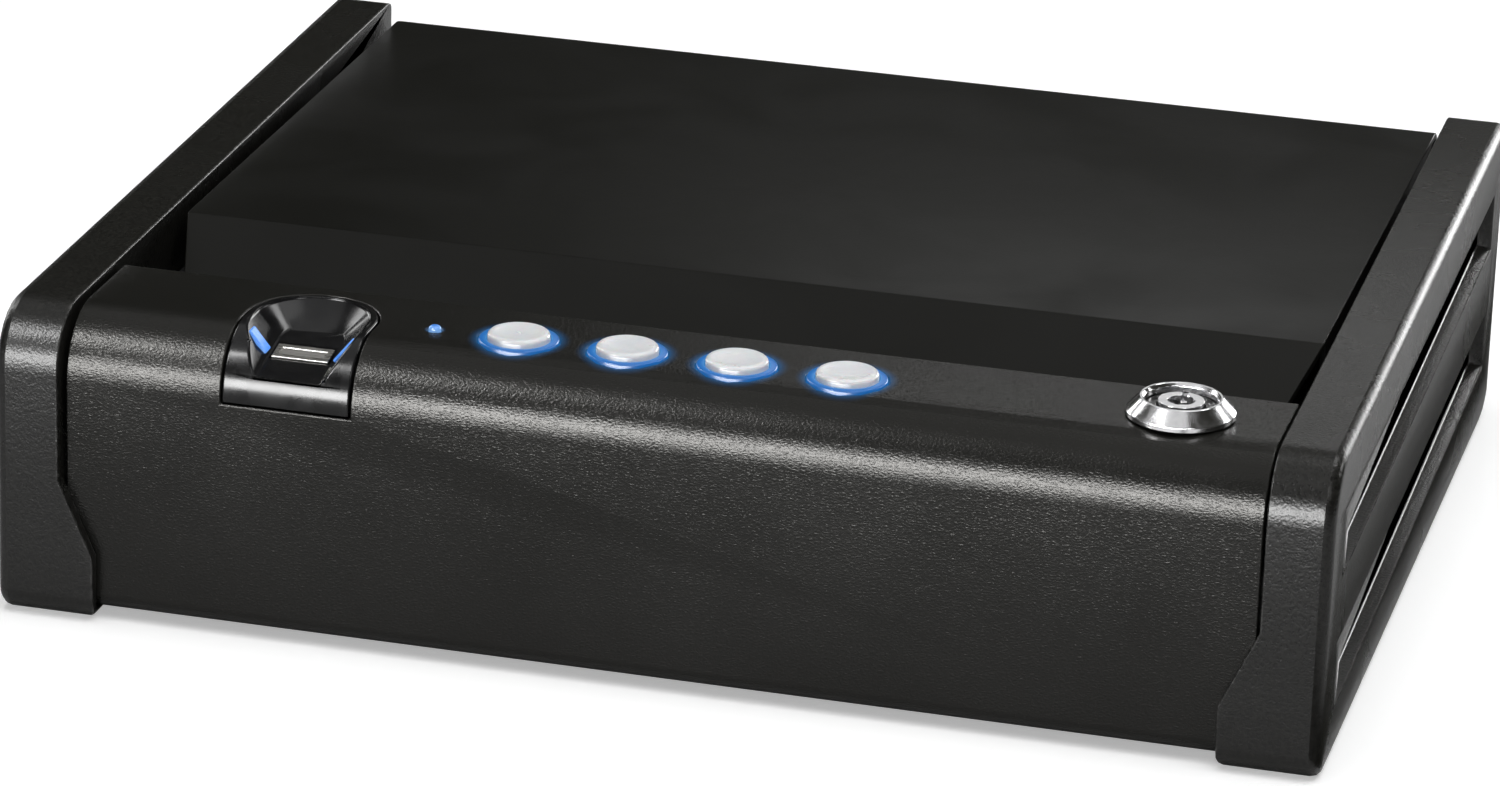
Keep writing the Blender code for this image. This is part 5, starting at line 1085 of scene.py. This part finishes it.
# The floor flag lies beside the right cap, and darkens what the lower part of its side mirrors
strip = bmesh.new()
near, far = FLAG_REACH
corners = ((near, -FLAG_LENGTH / 2), (far, -FLAG_LENGTH / 2), (far, FLAG_LENGTH / 2), (near, FLAG_LENGTH / 2))
strip.faces.new([strip.verts.new((across, along, FLAG_HEIGHT)) for across, along in corners])

for card in (made_piece("card_tent", cards, grey_card), made_piece("floor_flag", strip, grey_card)):
    card.visible_camera = card.visible_diffuse = card.visible_shadow = False


def softbox(name, place, aim, width, height, power):
    """An area light that faces a point."""
    light = bpy.data.lights.new(name, "AREA")
    light.shape = "RECTANGLE"
    light.size = width
    light.size_y = height
    light.energy = power
    lamp = bpy.data.objects.new(name, light)
    scene.collection.objects.link(lamp)
    turn = (Vector(aim) - Vector(place)).to_track_quat("-Z", "Y").to_matrix().to_4x4()
    lamp.matrix_world = Matrix.Translation(place) @ turn
    lamp.visible_camera = False
    return lamp


fill = softbox("overhead fill", (0.25, -0.2, 1.45), (0.0, 0.0, 0.0), 1.6, 1.6, 25.0)
fill.visible_glossy = False
for name, place, aim, width, height, power in (
    ("low front panel", (-0.34, -1.40, 0.27), (-0.05, -0.10, 0.06), 1.8, 0.34, 80.0),
    ("front left softbox", (-0.76, -0.72, 1.02), (-0.10, -0.10, 0.06), 0.36, 0.30, 13.0),
    ("left corner softbox", (-0.62, -0.80, 1.06), (-0.13, -0.11, 0.06), 0.14, 0.50, 7.5),
    ("back middle panel", (-0.12, 1.70, 0.98), (0.05, -0.08, 0.07), 0.64, 0.44, 1.35),
    ("ceiling panel", (0.32, 0.30, 1.60), (0.05, 0.00, 0.06), 0.80, 0.60, 2.2),
    ("overhead panel", (-0.20, 0.0, 1.60), (-0.20, 0.00, 0.06), 1.50, 2.20, 7.2),
    ("back right panel", (0.60, 1.40, 0.25), (0.10, 0.00, 0.07), 0.55, 0.50, 8.0),
    ("front right softbox", (0.61, -0.83, 1.05), (0.10, -0.10, 0.06), 0.30, 0.30, 3.0),
    ("right rear softbox", (0.54, 0.56, 1.26), (-0.08, -0.09, 0.06), 0.25, 0.25, 2.4),
    ("left rear softbox", (-1.10, 0.56, 0.95), (-0.08, -0.09, 0.06), 0.36, 0.36, 3.4),
    ("right panel", (1.11, 0.73, 0.64), (0.14, -0.08, 0.06), 0.30, 0.30, 2.5),
    ("back left panel", (-1.5, 0.9, 0.40), (-0.10, 0.00, 0.05), 0.50, 0.50, 6.0),
):
    softbox(name, place, aim, width, height, power).visible_diffuse = False

room = bpy.data.worlds.new("studio room")
room.use_nodes = True
tree = room.node_tree
tree.links.new(blended(tree, seen_directly(tree), PLAIN_ROOM, WHITE), tree.nodes["Background"].inputs["Color"])
scene.world = room
scene.view_settings.view_transform = "Standard"


# Camera: where the photograph was taken from, in front of the safe, to its right and above it. Its place comes from
# a least-squares fit to the photographed outline.
SENSOR_WIDTH = 36.0
FOCAL_LENGTH = 152.17
CLIP_NEAR = 0.01
CLIP_FAR = 200.0

optics = bpy.data.cameras.new("photograph")
optics.sensor_fit = "HORIZONTAL"
optics.sensor_width = SENSOR_WIDTH
optics.lens = FOCAL_LENGTH
optics.clip_start = CLIP_NEAR
optics.clip_end = CLIP_FAR
camera = bpy.data.objects.new("photograph", optics)
scene.collection.objects.link(camera)
camera.matrix_world = Matrix(
    (
        (0.96654285, -0.11662656, 0.22845824, 0.31773),
        (0.25473972, 0.33211975, -0.90818728, -1.29467),
        (0.03004326, 0.93599931, 0.35071739, 0.52567),
        (0.0, 0.0, 0.0, 1.0),
    )
)
scene.camera = camera
